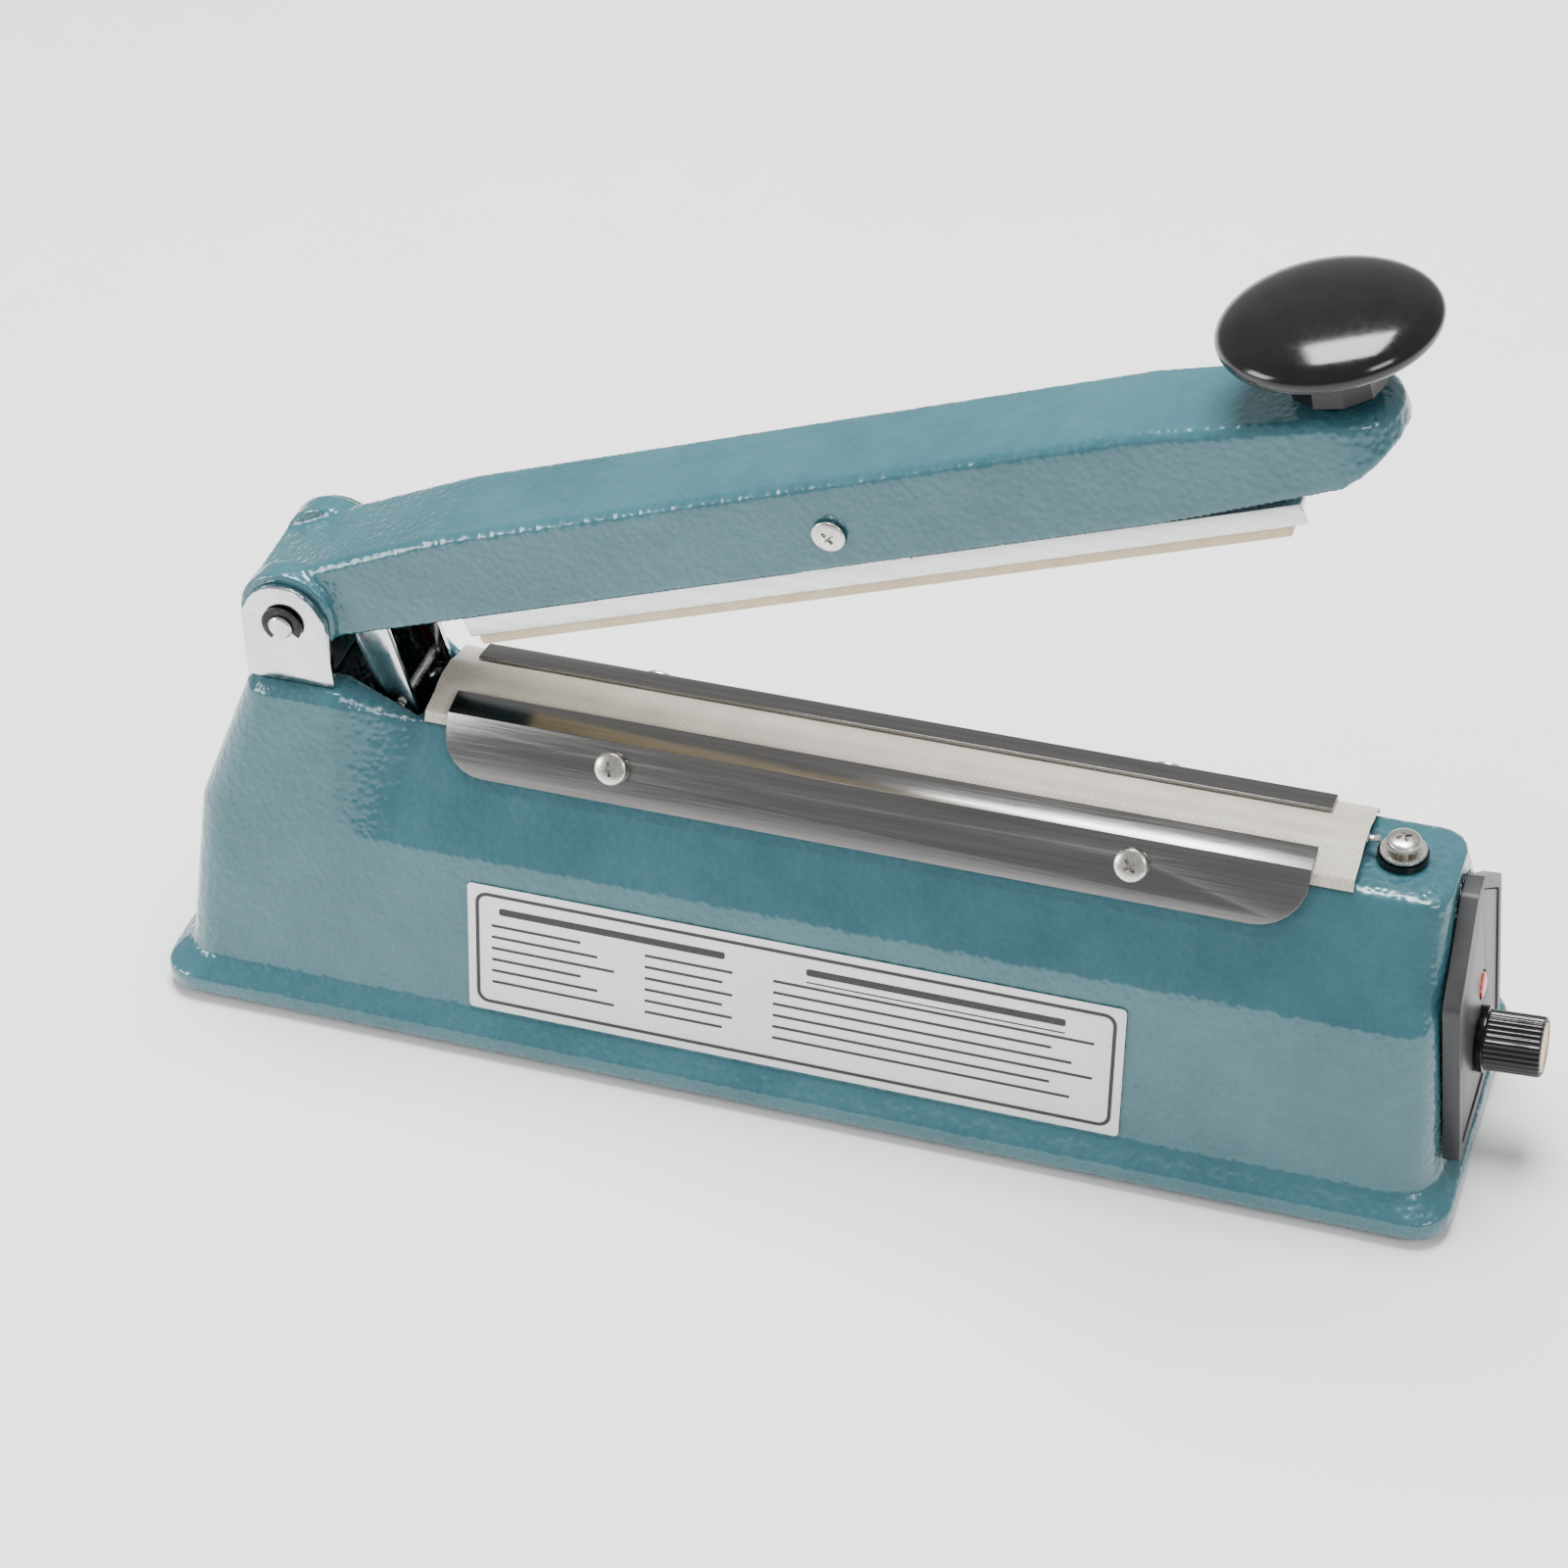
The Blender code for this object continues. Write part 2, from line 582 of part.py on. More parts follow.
def make_terminals():
    seat = RIDGE_Z + GAP
    bush = [(2.0, seat + 1.5), (5.9, seat + 1.5), (5.9, seat), (3.0, seat), (3.0, 73.0), (2.0, 73.0)]
    turned("terminal_bush", bush, BLACK_PLASTIC, BASE, at(TERMINAL_X), 20)
    washer = [(2.0, seat + 2.6), (5.4, seat + 2.6), (5.4, seat + 1.8), (2.0, seat + 1.8)]
    turned("terminal_washer", washer, ZINC, BASE, at(TERMINAL_X), 20)
    turned("terminal_screw", screw_profile(4.7, 3.3, 1.7, 14.0), ZINC, BASE,
           at(TERMINAL_X, 0, seat + 2.9), 20)
    lead = CLOTH_TOP - 0.5
    right = [(ELEMENT_X[1] + 0.4, 0, lead), (130.6, 0, lead + 0.1), (131.8, 0, lead + 0.5)]
    wire("heater_lead_right", right, 0.8, ZINC)
    roof = RIDGE_Z - WALL - GAP
    block("left_terminal", (-93.5, -5.0, roof - 5.0), (-84.0, 5.0, roof), BRASS, BASE, 0.6)
    left = [(ELEMENT_X[0] - 0.4, 0, lead), (-95.3, 0, lead - 0.6), (-96.4, 0, lead - 2.2),
            (-96.7, 0, lead - 5.0), (-96.3, 0, 73.4), (-94.6, 0, 72.0)]
    wire("heater_lead_left", left, 0.8, ZINC)


def panel_outline(shrink=0.0):
    """Panel outline about the dial's centre: (across, up)."""
    top, eave, low = 73.0 - DIAL_Z, 56.5 - DIAL_Z, 8.9 - DIAL_Z
    corners = [(-24.0, low), (24.0, low), (24.5, eave), (3.5, top), (-3.5, top), (-24.5, eave)]
    centre_up = (top + low) / 2
    scale_x = 1 - shrink / 24.0
    scale_y = 1 - shrink / ((top - low) / 2)
    return [(x * scale_x, centre_up + (y - centre_up) * scale_y) for x, y in corners]


ON_PANEL = Matrix(((0, 0, 1), (1, 0, 0), (0, 1, 0)))


def make_timer_panel():
    radii = [2.5, 2.5, 3.0, 2.5, 2.5, 3.0]
    outer = rounded(panel_outline(), radii, 3)
    recess = rounded(panel_outline(3.2), [1.5] * 6, 2)
    bezel = slab("timer_bezel", outer, PANEL_THICK, PANEL_PLASTIC, PANEL,
                 at(GAP + 0.1, 0, 0, ON_PANEL), [circle((0, 0), 4.6), circle(PILOT, 2.6, 16)])
    cut = outline_mesh("bezel_recess", recess, 3.0)
    boolean(bezel, tool("bezel_recess", cut, PANEL, at(PANEL_THICK - 0.8, 0, 0, ON_PANEL)))
    inner = rounded(panel_outline(3.6), [1.2] * 6, 2)
    slab("dial_plate", inner, 0.5, PANEL_PRINT, PANEL, at(PANEL_THICK - 0.5, 0, 0, ON_PANEL),
         [circle((0, 0), 4.6), circle(PILOT, 3.7, 20)])
    lens = [(0, 1.2), (1.6, 1.1), (2.7, 0.8), (3.2, 0), (2.2, 0), (2.2, -3.2), (0, -3.2)]
    turned("pilot_lens", lens, RED_LENS, PANEL,
           at(PANEL_THICK - 0.4, *PILOT) @ ALONG_X.to_4x4(), 20)
    body = [(3.4, -3.2), (8.0, -3.2), (8.0, -14.0), (3.4, -14.0)]
    turned("timer_potentiometer", body, ZINC, PANEL, at(turn=ALONG_X), 24)
    shaft = [(0, 12.0), (2.8, 12.0), (2.8, -12.0), (0, -12.0)]
    turned("timer_shaft", shaft, BRASS, PANEL, at(turn=ALONG_X), 16)
    start = PANEL_THICK + 0.4
    tip = (KNOB_TIP_X - PANEL_X) / math.cos(DIAL_LEAN) - 0.6
    knob = [(3.1, tip - 1.0), (DIAL_KNOB_R - 1.2, tip - 1.0), (DIAL_KNOB_R - 1.2, tip),
            (DIAL_KNOB_R - 0.3, tip), (DIAL_KNOB_R, tip - 0.4), (DIAL_KNOB_R + 0.2, start + 2.6),
            (DIAL_KNOB_R + 0.8, start + 1.8), (DIAL_KNOB_R + 0.8, start), (3.1, start)]
    turned("timer_knob", knob, BLACK_PLASTIC, PANEL, at(turn=ALONG_X), 28)
    cap = [(0, tip + 0.1), (DIAL_KNOB_R - 1.6, tip + 0.1), (DIAL_KNOB_R - 1.6, tip - 0.7), (0, tip - 0.7)]
    turned("timer_knob_cap", cap, CREAM, PANEL, at(turn=ALONG_X), 28)


def make_electrics():
    centre = (10.0, 0.0, 27.4)
    core = block("transformer_core", (-28, -10, -25), (28, 10, 25), CORE_IRON, BASE, 0.0, at(*centre))
    for side in (-1, 1):
        low, high = sorted((side * 9.0, side * 19.0))
        boolean(core, tool(f"core_window_{side}",
                           block_mesh(f"core_window_{side}", (low, -14, -16), (high, 14, 16)),
                           BASE, at(*centre)))
    coil = block("transformer_coil", (-18.7, -18, -15.7), (18.7, 18, 15.7), COPPER, BASE, 3.0, at(*centre))
    boolean(coil, tool("coil_bore", block_mesh("coil_bore", (-9.3, -10.3, -30), (9.3, 10.3, 30)),
                       BASE, at(*centre)))
    board = block("timer_board", (-16.0, -19, -17), (-14.4, 19, 20), BOARD, PANEL)
    drill(board, "board_bore", 3.3, -20.0, -10.0, PANEL, at(turn=ALONG_X), 16)
    block("timer_relay", (-32.0, -9, -15), (-16.4, 9, 1), BLACK_PLASTIC, PANEL, 0.8)
    switch = block("microswitch", (-121.5, -3.3, 56), (-98.5, 3.3, 66.4), BLACK_PLASTIC, BASE, 0.6)
    drill(switch, "plunger_bore", 1.5, 60.0, 70.0, BASE, at(PLUNGER_X), 16)
    top = PLUNGER_TOP
    plunger = [(0, top), (0.9, top - 0.1), (1.2, top - 0.5), (1.2, top - 7.5), (0, top - 7.5)]
    turned("switch_plunger", plunger, CREAM, BASE, at(PLUNGER_X), 16)
    bracket = block("switch_bracket", (-120, 3.7, 2.5), (-100, 4.9, 64), ZINC)
    foot = block_mesh("bracket_foot", (-120, 4.2, 2.5), (-100, 18, 3.7))
    boolean(bracket, tool("bracket_foot", foot), 'UNION')
    groove = 4.8
    lip = 7.4
    grommet = [(3.0, 2.6), (lip - 1.6, 2.6), (lip, 1.2), (lip, 0.35), (groove, 0.35),
               (groove, -WALL - 0.5), (lip - 0.6, -WALL - 0.5), (lip - 1.2, -WALL - 2.2),
               (3.0, -WALL - 2.2)]
    turned("cord_grommet", grommet, RUBBER, BASE, back_wall_frame(*GROMMET), 20)


def make_label():
    width, height = 161.0, 34.8
    corners = [(0, 0), (width, 0), (width, height), (0, height)]
    slab("rating_label", rounded(corners, [1.0] * 4, 2), 0.3, PAPER, BASE,
         front_wall_frame(-78.7, 9.6) @ at(z=GAP))


def make_return_spring():
    """Torsion spring round the hinge pin; its long leg reaches into the arm."""
    turns, radius, thick, steps = 4, 5.2, 0.6, 12
    points = [(-3.0, -8.0, -11.0), (-radius, -7.4, -6.0)]
    for i in range(turns * steps + 1):
        angle = math.pi + 2 * math.pi * i / steps
        points.append((radius * math.cos(angle), -6.8 + 13.0 * i / (turns * steps),
                       -radius * math.sin(angle)))
    points += [(-radius + 0.8, 6.6, 3.0), (-1.0, 7.0, 4.9), (9.0, 7.0, 6.0)]
    places = [tuple(Vector(PIVOT) + Vector(point)) for point in points]
    wire("return_spring", places, thick, ZINC, BASE, 1)


# --- the arm ------------------------------------------------------------------------------
ARM_STATIONS = (12.7, 45.0, 130.0, 217.0)


def arm_crown(x):
    """Height of the arm's flat top: a ramp at the hinge, level, then a droop to the nose."""
    knots = [(ARM_BACK, 7.8), (12.5, 10.3), (45.0, ARM_TOP), (217.0, ARM_TOP), (KNOB_X, 9.2),
             (ARM_END, 5.5)]
    for (x0, z0), (x1, z1) in zip(knots, knots[1:]):
        if x <= x1:
            return z0 + (z1 - z0) * (x - x0) / (x1 - x0)
    return knots[-1][1]


def arm_keel(x):
    """Height of the arm's lower edge: straight, then curling up under the nose."""
    start = 244.0
    if x <= start:
        return ARM_LOW
    return ARM_LOW + 8.0 * ((x - start) / (ARM_END - start)) ** 2


def arm_rows(inset, floor_z, roof_drop, nose):
    def level(height, left, right, half, corner_left, corner_right):
        loop = plan_loop(left + inset, right, lambda x: half - inset, corner_left, corner_right,
                         [x for x in ARM_STATIONS], 5)
        return [(x, y, height(x)) for x, y in loop]

    side = ARM_HALF - inset
    end = nose
    low = (lambda x: floor_z) if floor_z is not None else arm_keel
    rows = [level(low, ARM_BACK, end, ARM_HALF, 2.0, side - 0.6),
            level(lambda x: arm_crown(x) - 1.6 - roof_drop, ARM_BACK, end, ARM_HALF - 0.6, 2.0,
                  side - 1.2),
            level(lambda x: arm_crown(x) - roof_drop, ARM_BACK + 1.5, end - 2.0, ARM_HALF - 2.2, 1.5,
                  side - 2.8)]
    floor = [(x, 0.0, z) for x, y, z in rows[0]]
    roof = [(x, 0.0, z) for x, y, z in rows[-1]]
    return [floor] + rows + [roof]


def make_arm():
    arm = loft("arm_casting", arm_rows(0.0, None, 0.0, ARM_END), ENAMEL, ARM)
    for side in (-1, 1):
        low, high = sorted((side * 10.0, side * BOSS_OUT))
        chord = math.degrees(math.asin(-ARM_LOW / BOSS_R))
        shape = arc((0, 0), BOSS_R, -chord, 180 + chord, 22)
        mesh = outline_mesh(f"hinge_boss_{side}", shape, high - low)
        boolean(arm, tool(f"hinge_boss_{side}", mesh, ARM, at(0, high, 0, ALONG_FRONT)), 'UNION')
    boolean(arm, loft("arm_hollow", arm_rows(ARM_WALL, -30.0, ARM_WALL, 243.0), None, ARM))
    drill(arm, "pin_bore", PIN_HOLE_R, -30.0, 30.0, ARM, at(turn=ALONG_BACK))
    drill(arm, "rocker_bore", 2.6, -30.0, 30.0, ARM, at(ROCKER[0], 0, ROCKER[1], ALONG_BACK), 16)
    knob_frame = new_empty("knob_frame", (KNOB_X, 0.0, arm_crown(KNOB_X)), ARM,
                           (0.0, math.radians(KNOB_TILT), 0.0))
    drill(arm, "knob_bore", 2.9, -14.8, 30.0, knob_frame, steps=16)
    dome = [(KNOB_R * math.sin(turn), KNOB_RIM + KNOB_DOME * math.cos(turn))
            for turn in (math.radians(15.0 * i) for i in range(7))]
    knob = dome + [(KNOB_R - 0.3, KNOB_RIM - 1.6), (KNOB_R - 1.6, KNOB_RIM - 2.7),
                   (15.0, KNOB_RIM - 3.9), (11.2, KNOB_RIM - 6.0), (10.2, 6.5), (10.4, 1.0),
                   (3.1, 1.0), (3.1, 13.5), (0, 13.5)]
    turned("hand_knob", knob, BLACK_PLASTIC, knob_frame, None, 40)
    stud = [(0, 13.0), (2.6, 13.0), (2.6, -14.4), (0, -14.4)]
    turned("knob_stud", stud, ZINC, knob_frame, None, 16)
    lever = [(10.0, -34.0), (17.2, -36.0), (22.0, 5.0), (11.5, 5.0)]
    lever_out = 11.2
    top = block("switch_lever", (11.5, -lever_out, 4.0), (22.0, lever_out, 5.4), CHROME, ARM)
    for side in (-1, 1):
        mesh = outline_mesh(f"lever_side_{side}", lever, 1.4, [circle(TRIP_PIN, 1.7, 12)])
        start = lever_out if side > 0 else -lever_out + 1.4
        boolean(top, tool(f"lever_side_{side}", mesh, ARM, at(0, start, 0, ALONG_FRONT)), 'UNION')
    trip = [(0, 12.0), (1.4, 12.0), (1.4, -12.0), (0, -12.0)]
    turned("trip_pin", trip, ZINC, ARM, at(TRIP_PIN[0], 0, TRIP_PIN[1], ALONG_BACK), 12)
    head = ARM_HALF + GAP
    rocker = [(0, head + 1.2), (2.6, head + 1.15), (3.7, head + 0.6), (3.9, head), (2.3, head),
              (2.3, -head - 4.0), (0, -head - 4.0)]
    turned("rocker_screw", rocker, ZINC, ARM, at(ROCKER[0], 0, ROCKER[1], ALONG_FRONT), 20)
    slab("rocker_nut", circle((0, 0), 4.2, 6), 3.0, ZINC, ARM,
         at(ROCKER[0], head + 3.0, ROCKER[1], ALONG_FRONT), [circle((0, 0), 2.5, 16)])


def make_pressure_bar():
    """Channel that holds the rubber strip, hung on the rocker screw by a riveted carrier."""
    low, high = BAR_X
    channel = [(-BAR_HALF, BAR_LOW), (-BAR_HALF, BAR_TOP), (BAR_HALF, BAR_TOP), (BAR_HALF, BAR_LOW),
               (BAR_HALF - 1.2, BAR_LOW), (BAR_HALF - 1.2, BAR_TOP - 1.4),
               (-BAR_HALF + 1.2, BAR_TOP - 1.4), (-BAR_HALF + 1.2, BAR_LOW)]
    upright = Matrix.Rotation(math.pi / 2, 3, 'Z') @ ALONG_FRONT
    slab("pressure_bar", channel, high - low, ALUMINIUM, ARM, at(low, 0, 0, upright))
    strip = [(-STRIP_HALF, STRIP_LOW + 0.5), (-STRIP_HALF, BAR_TOP - 1.8), (STRIP_HALF, BAR_TOP - 1.8),
             (STRIP_HALF, STRIP_LOW + 0.5), (STRIP_HALF - 0.5, STRIP_LOW), (-STRIP_HALF + 0.5, STRIP_LOW)]
    slab("silicone_strip", strip, high - low - 6.0, SILICONE, ARM, at(low + 1.0, 0, 0, upright))
    inside = ARM_HALF - ARM_WALL - 1.6
    x0, x1 = ROCKER[0] - 14.0, ROCKER[0] + 14.0
    floor = BAR_TOP + GAP
    carrier = block("bar_carrier", (x0, -inside, floor), (x1, inside, floor + 1.5), ZINC, ARM)
    cheek = [(-12.0, floor + 0.4 - ROCKER[1]), (12.0, floor + 0.4 - ROCKER[1])]
    cheek += arc((0, 0), 5.5, 20, 160, 6)
    for side in (-1, 1):
        mesh = outline_mesh(f"cheek_{side}", cheek, 1.5, [circle((0, 0), 2.6, 16)])
        start = inside if side > 0 else -inside + 1.5
        place = at(ROCKER[0], start, ROCKER[1], ALONG_FRONT)
        boolean(carrier, tool(f"cheek_{side}", mesh, ARM, place), 'UNION')


make_body_casting()
make_underside()
make_hinge()
make_seal_ridge()
make_terminals()
make_timer_panel()
make_electrics()
make_label()
make_return_spring()
make_arm()
make_pressure_bar()
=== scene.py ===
"""Hand impulse heat sealer, looks: enamelled castings, stainless covers, knobs and light."""

import json
import math

import bmesh
import bpy
from mathutils import Matrix, Vector, noise


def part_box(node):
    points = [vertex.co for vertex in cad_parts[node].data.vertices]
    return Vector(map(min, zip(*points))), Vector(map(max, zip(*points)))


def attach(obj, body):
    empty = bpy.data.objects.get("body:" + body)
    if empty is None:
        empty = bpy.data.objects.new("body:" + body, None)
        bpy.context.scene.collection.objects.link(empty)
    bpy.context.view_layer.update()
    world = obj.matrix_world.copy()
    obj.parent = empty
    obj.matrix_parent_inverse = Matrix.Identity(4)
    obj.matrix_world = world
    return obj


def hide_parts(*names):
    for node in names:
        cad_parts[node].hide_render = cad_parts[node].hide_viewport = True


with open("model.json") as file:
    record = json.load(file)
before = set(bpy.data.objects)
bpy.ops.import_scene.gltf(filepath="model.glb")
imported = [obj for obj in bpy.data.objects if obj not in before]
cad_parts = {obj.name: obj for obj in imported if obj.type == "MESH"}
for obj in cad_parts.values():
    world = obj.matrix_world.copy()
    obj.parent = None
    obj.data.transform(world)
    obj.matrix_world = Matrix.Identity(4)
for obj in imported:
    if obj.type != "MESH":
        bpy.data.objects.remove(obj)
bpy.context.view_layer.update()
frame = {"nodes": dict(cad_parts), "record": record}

MM = 0.001
TINY = 0.001
NODES = frame["nodes"]
JOINTS = {joint["name"]: joint for joint in frame["record"]["behaviour"]["joints"]}

# Sizes in millimetres. Base frame: X from hinge to timer knob, Z up from the casting's rim.
GAP = 0.3
HINGE = Vector((-124.0, 0.0, 103.3))
OPEN_ANGLE = 20.0
CREASE_Z, CREASE_HALF = 50.0, 29.0
SHOULDER_Z, SHOULDER_HALF = 76.5, 14.0
FLARE_Z, FLARE_HALF = 8.5, 36.6
COVER_LOW_Z = 68.0
COVER_SCREW_X = (-45.3, 79.1)
COVER_SCREW_UP = 8.4
CLOTH_X = (-93.0, 129.0)
CLOTH_THICK = 0.2
# Half of the cloth's section: distance from the middle, height.
CLOTH_HALF = ((0.0, 81.8), (3.4, 81.8), (7.0, 80.55), (12.4, 79.5), (13.2, 78.6), (14.1, 77.0))
KNOB_SEAT = (259.6, 0.0, 9.2)
KNOB_TILT = 8.9
KNOB_R = 23.7
KNOB_RIM = 15.5
KNOB_DOME = 7.5
ARM_HALF = 14.3
ROCKER = (142.1, 0.2)
TERMINAL_X = 137.2
PANEL_LEAN = 0.064
EYE = Vector((247.72, -705.20, 696.00))
EYE_TURNS = (20.0, 40.04, -2.73)        # degrees: round the object, above it, and the roll
EYE_LENS = 96.01
PANEL_THICK = 4.0
DIAL_R = 7.1


def turned_to(axis_angle, axis):
    return Matrix.Rotation(math.radians(axis_angle), 4, axis)


def moved(x=0.0, y=0.0, z=0.0):
    return Matrix.Translation((x, y, z))


PIVOT = Vector(JOINTS["arm_hinge"]["pos_m"]) / MM
BASE = moved(*(PIVOT - HINGE))
ARM = moved(*PIVOT) @ turned_to(-OPEN_ANGLE, 'Y')
KNOB = ARM @ moved(*KNOB_SEAT) @ turned_to(KNOB_TILT, 'Y')
DIAL = (moved(*(Vector(JOINTS["timer_knob_turn"]["pos_m"]) / MM))
        @ turned_to(-math.degrees(math.atan(PANEL_LEAN)), 'Y'))
TO_FRONT = turned_to(90, 'X')
TO_END = turned_to(90, 'Y')


# --- materials ----------------------------------------------------------------------------

def link(tree, source, output, target, socket):
    """Joins one node's output to another's input."""
    tree.links.new(source.outputs[output], target.inputs[socket])


def finish_of(name, dark, light, roughness, metallic=0.0, grain=400.0, bump=0.1, depth=0.0002,
              stretch=(1.0, 1.0, 1.0), patch=25.0, spread=0.12, coat=0.0, coat_rough=0.1,
              pattern='NOISE', fixed=()):
    """Procedural finish: patchy colour, uneven gloss and a fine relief of its own grain."""
    mat = bpy.data.materials.new(name)
    mat.use_nodes = True
    tree = mat.node_tree
    shader = tree.nodes["Principled BSDF"]
    shader.inputs["Metallic"].default_value = metallic
    shader.inputs["Coat Weight"].default_value = coat
    shader.inputs["Coat Roughness"].default_value = coat_rough
    for socket, value in fixed:
        shader.inputs[socket].default_value = value
    place = tree.nodes.new("ShaderNodeTexCoord")
    scaled = tree.nodes.new("ShaderNodeMapping")
    scaled.inputs["Scale"].default_value = stretch
    link(tree, place, "Object", scaled, "Vector")
    patches = tree.nodes.new("ShaderNodeTexNoise")
    patches.inputs["Scale"].default_value = patch
    patches.inputs["Detail"].default_value = 6.0
    patches.inputs["Roughness"].default_value = 0.65
    link(tree, scaled, "Vector", patches, "Vector")
    ramp = tree.nodes.new("ShaderNodeValToRGB")
    ramp.color_ramp.elements[0].position = 0.32
    ramp.color_ramp.elements[1].position = 0.68
    ramp.color_ramp.elements[0].color = (*dark, 1.0)
    ramp.color_ramp.elements[1].color = (*light, 1.0)
    link(tree, patches, "Fac", ramp, "Fac")
    gloss = tree.nodes.new("ShaderNodeMapRange")
    gloss.inputs["From Min"].default_value = 0.3
    gloss.inputs["From Max"].default_value = 0.7
    gloss.inputs["To Min"].default_value = max(roughness - spread / 2, 0.02)
    gloss.inputs["To Max"].default_value = roughness + spread / 2
    if pattern == 'VORONOI':
        fine = tree.nodes.new("ShaderNodeTexVoronoi")
        fine.feature = 'SMOOTH_F1'
        fine.inputs["Smoothness"].default_value = 0.6
        relief = "Distance"
    else:
        fine = tree.nodes.new("ShaderNodeTexNoise")
        fine.inputs["Detail"].default_value = 3.0
        relief = "Fac"
    fine.inputs["Scale"].default_value = grain
    link(tree, scaled, "Vector", fine, "Vector")
    link(tree, fine, relief, gloss, "Value")
    link(tree, gloss, "Result", shader, "Roughness")
    raised = tree.nodes.new("ShaderNodeBump")
    raised.inputs["Strength"].default_value = bump
    raised.inputs["Distance"].default_value = depth
    link(tree, fine, relief, raised, "Height")
    link(tree, raised, "Normal", shader, "Normal")
    if coat:
        link(tree, raised, "Normal", shader, "Coat Normal")
    link(tree, ramp, "Color", shader, "Base Color")
    return mat


def weave_of(name, dark, light, pitch):
    """Glass cloth coated with fluoropolymer: fine crossed threads with a waxy sheen."""
    mat = finish_of(name, dark, light, 0.42, grain=900.0, patch=60.0)
    tree = mat.node_tree
    shader = tree.nodes["Principled BSDF"]
    place = tree.nodes["Texture Coordinate"]
    threads = []
    for turn in (38.0, -52.0):
        aim = tree.nodes.new("ShaderNodeMapping")
        aim.inputs["Rotation"].default_value = (0.0, 0.0, math.radians(turn))
        link(tree, place, "Object", aim, "Vector")
        wave = tree.nodes.new("ShaderNodeTexWave")
        wave.inputs["Scale"].default_value = 1.0 / (pitch * 20.0 * MM) * 6.283 / 2.0
        wave.inputs["Distortion"].default_value = 0.4
        link(tree, aim, "Vector", wave, "Vector")
        threads.append(wave)
    crossed = tree.nodes.new("ShaderNodeMath")
    crossed.operation = 'MULTIPLY'
    link(tree, threads[0], "Fac", crossed, 0)
    link(tree, threads[1], "Fac", crossed, 1)
    raised = tree.nodes.new("ShaderNodeBump")
    raised.inputs["Strength"].default_value = 0.35
    raised.inputs["Distance"].default_value = 0.00015
    link(tree, crossed, "Value", raised, "Height")
    link(tree, raised, "Normal", shader, "Normal")
    tint = tree.nodes.new("ShaderNodeMix")
    tint.data_type = 'RGBA'
    tint.blend_type = 'MULTIPLY'
    tint.inputs["Factor"].default_value = 0.2
    link(tree, tree.nodes["Color Ramp"], "Color", tint, "A")
    link(tree, crossed, "Value", tint, "B")
    tree.links.new(tint.outputs[2], shader.inputs["Base Color"])
    return mat


ENAMEL = finish_of("hammered_enamel", (0.028, 0.102, 0.126), (0.043, 0.136, 0.164), 0.27, 0.15,
                   grain=560.0, bump=0.5, depth=0.0004, patch=45.0, coat=0.55, coat_rough=0.07,
                   pattern='VORONOI', fixed=(("Specular IOR Level", 0.35),))
STAINLESS = finish_of("brushed_stainless", (0.19, 0.187, 0.183), (0.26, 0.256, 0.25), 0.20, 1.0,
                      grain=2600.0, bump=0.10, depth=0.00005, stretch=(0.02, 1.0, 1.0), patch=900.0)
CHROME = finish_of("chromed_steel", (0.56, 0.57, 0.58), (0.72, 0.73, 0.74), 0.16, 1.0,
                   grain=260.0, bump=0.05, depth=0.0001, patch=120.0)
ZINC = finish_of("zinc_plate", (0.52, 0.51, 0.48), (0.72, 0.70, 0.66), 0.27, 1.0,
                 grain=1500.0, bump=0.16, depth=0.00005, patch=300.0)
ALUMINIUM = finish_of("drawn_aluminium", (0.62, 0.63, 0.64), (0.76, 0.77, 0.78), 0.30, 1.0,
                      grain=2200.0, bump=0.12, depth=0.00005, stretch=(0.03, 1.0, 1.0), patch=500.0)
BLACK_STEEL = finish_of("blackened_steel", (0.012, 0.012, 0.013), (0.035, 0.035, 0.036), 0.36, 0.7,
                        grain=1800.0, bump=0.15, depth=0.00005, patch=400.0)
BLACK_PLASTIC = finish_of("black_phenolic", (0.002, 0.002, 0.003), (0.005, 0.005, 0.006), 0.15, 0.0,
                          grain=700.0, bump=0.02, depth=0.0001, patch=150.0, spread=0.05,
                          fixed=(("Specular IOR Level", 0.45),))
SATIN_PLASTIC = finish_of("satin_dark_plastic", (0.020, 0.020, 0.022), (0.036, 0.036, 0.038), 0.46,
                          grain=3200.0, bump=0.22, depth=0.00006, patch=90.0)
PANEL_PRINT = finish_of("panel_face", (0.024, 0.024, 0.026), (0.040, 0.040, 0.043), 0.40,
                        grain=2800.0, bump=0.18, depth=0.00005, patch=110.0)
WHITE_INK = finish_of("white_ink", (0.66, 0.66, 0.64), (0.80, 0.80, 0.78), 0.5, grain=2500.0,
                      patch=800.0)
RED_INK = finish_of("red_ink", (0.46, 0.02, 0.015), (0.62, 0.04, 0.03), 0.5, grain=2500.0,
                    patch=800.0)
BLACK_INK = finish_of("black_ink", (0.008, 0.008, 0.009), (0.020, 0.020, 0.022), 0.45,
                      grain=2500.0, patch=800.0)
PAPER = finish_of("label_film", (0.74, 0.75, 0.74), (0.82, 0.83, 0.82), 0.34, grain=1600.0,
                  bump=0.08, depth=0.00005, patch=60.0)
CREAM = finish_of("gold_cream_disc", (0.58, 0.42, 0.22), (0.72, 0.55, 0.33), 0.32, 0.2,
                  grain=2000.0, bump=0.1, depth=0.00005, patch=400.0)
SILICONE = finish_of("silicone_rubber", (0.55, 0.45, 0.28), (0.68, 0.57, 0.38), 0.55,
                     grain=1300.0, bump=0.15, depth=0.00008, patch=140.0,
                     fixed=(("Subsurface Weight", 0.12), ("Subsurface Scale", 0.003)))
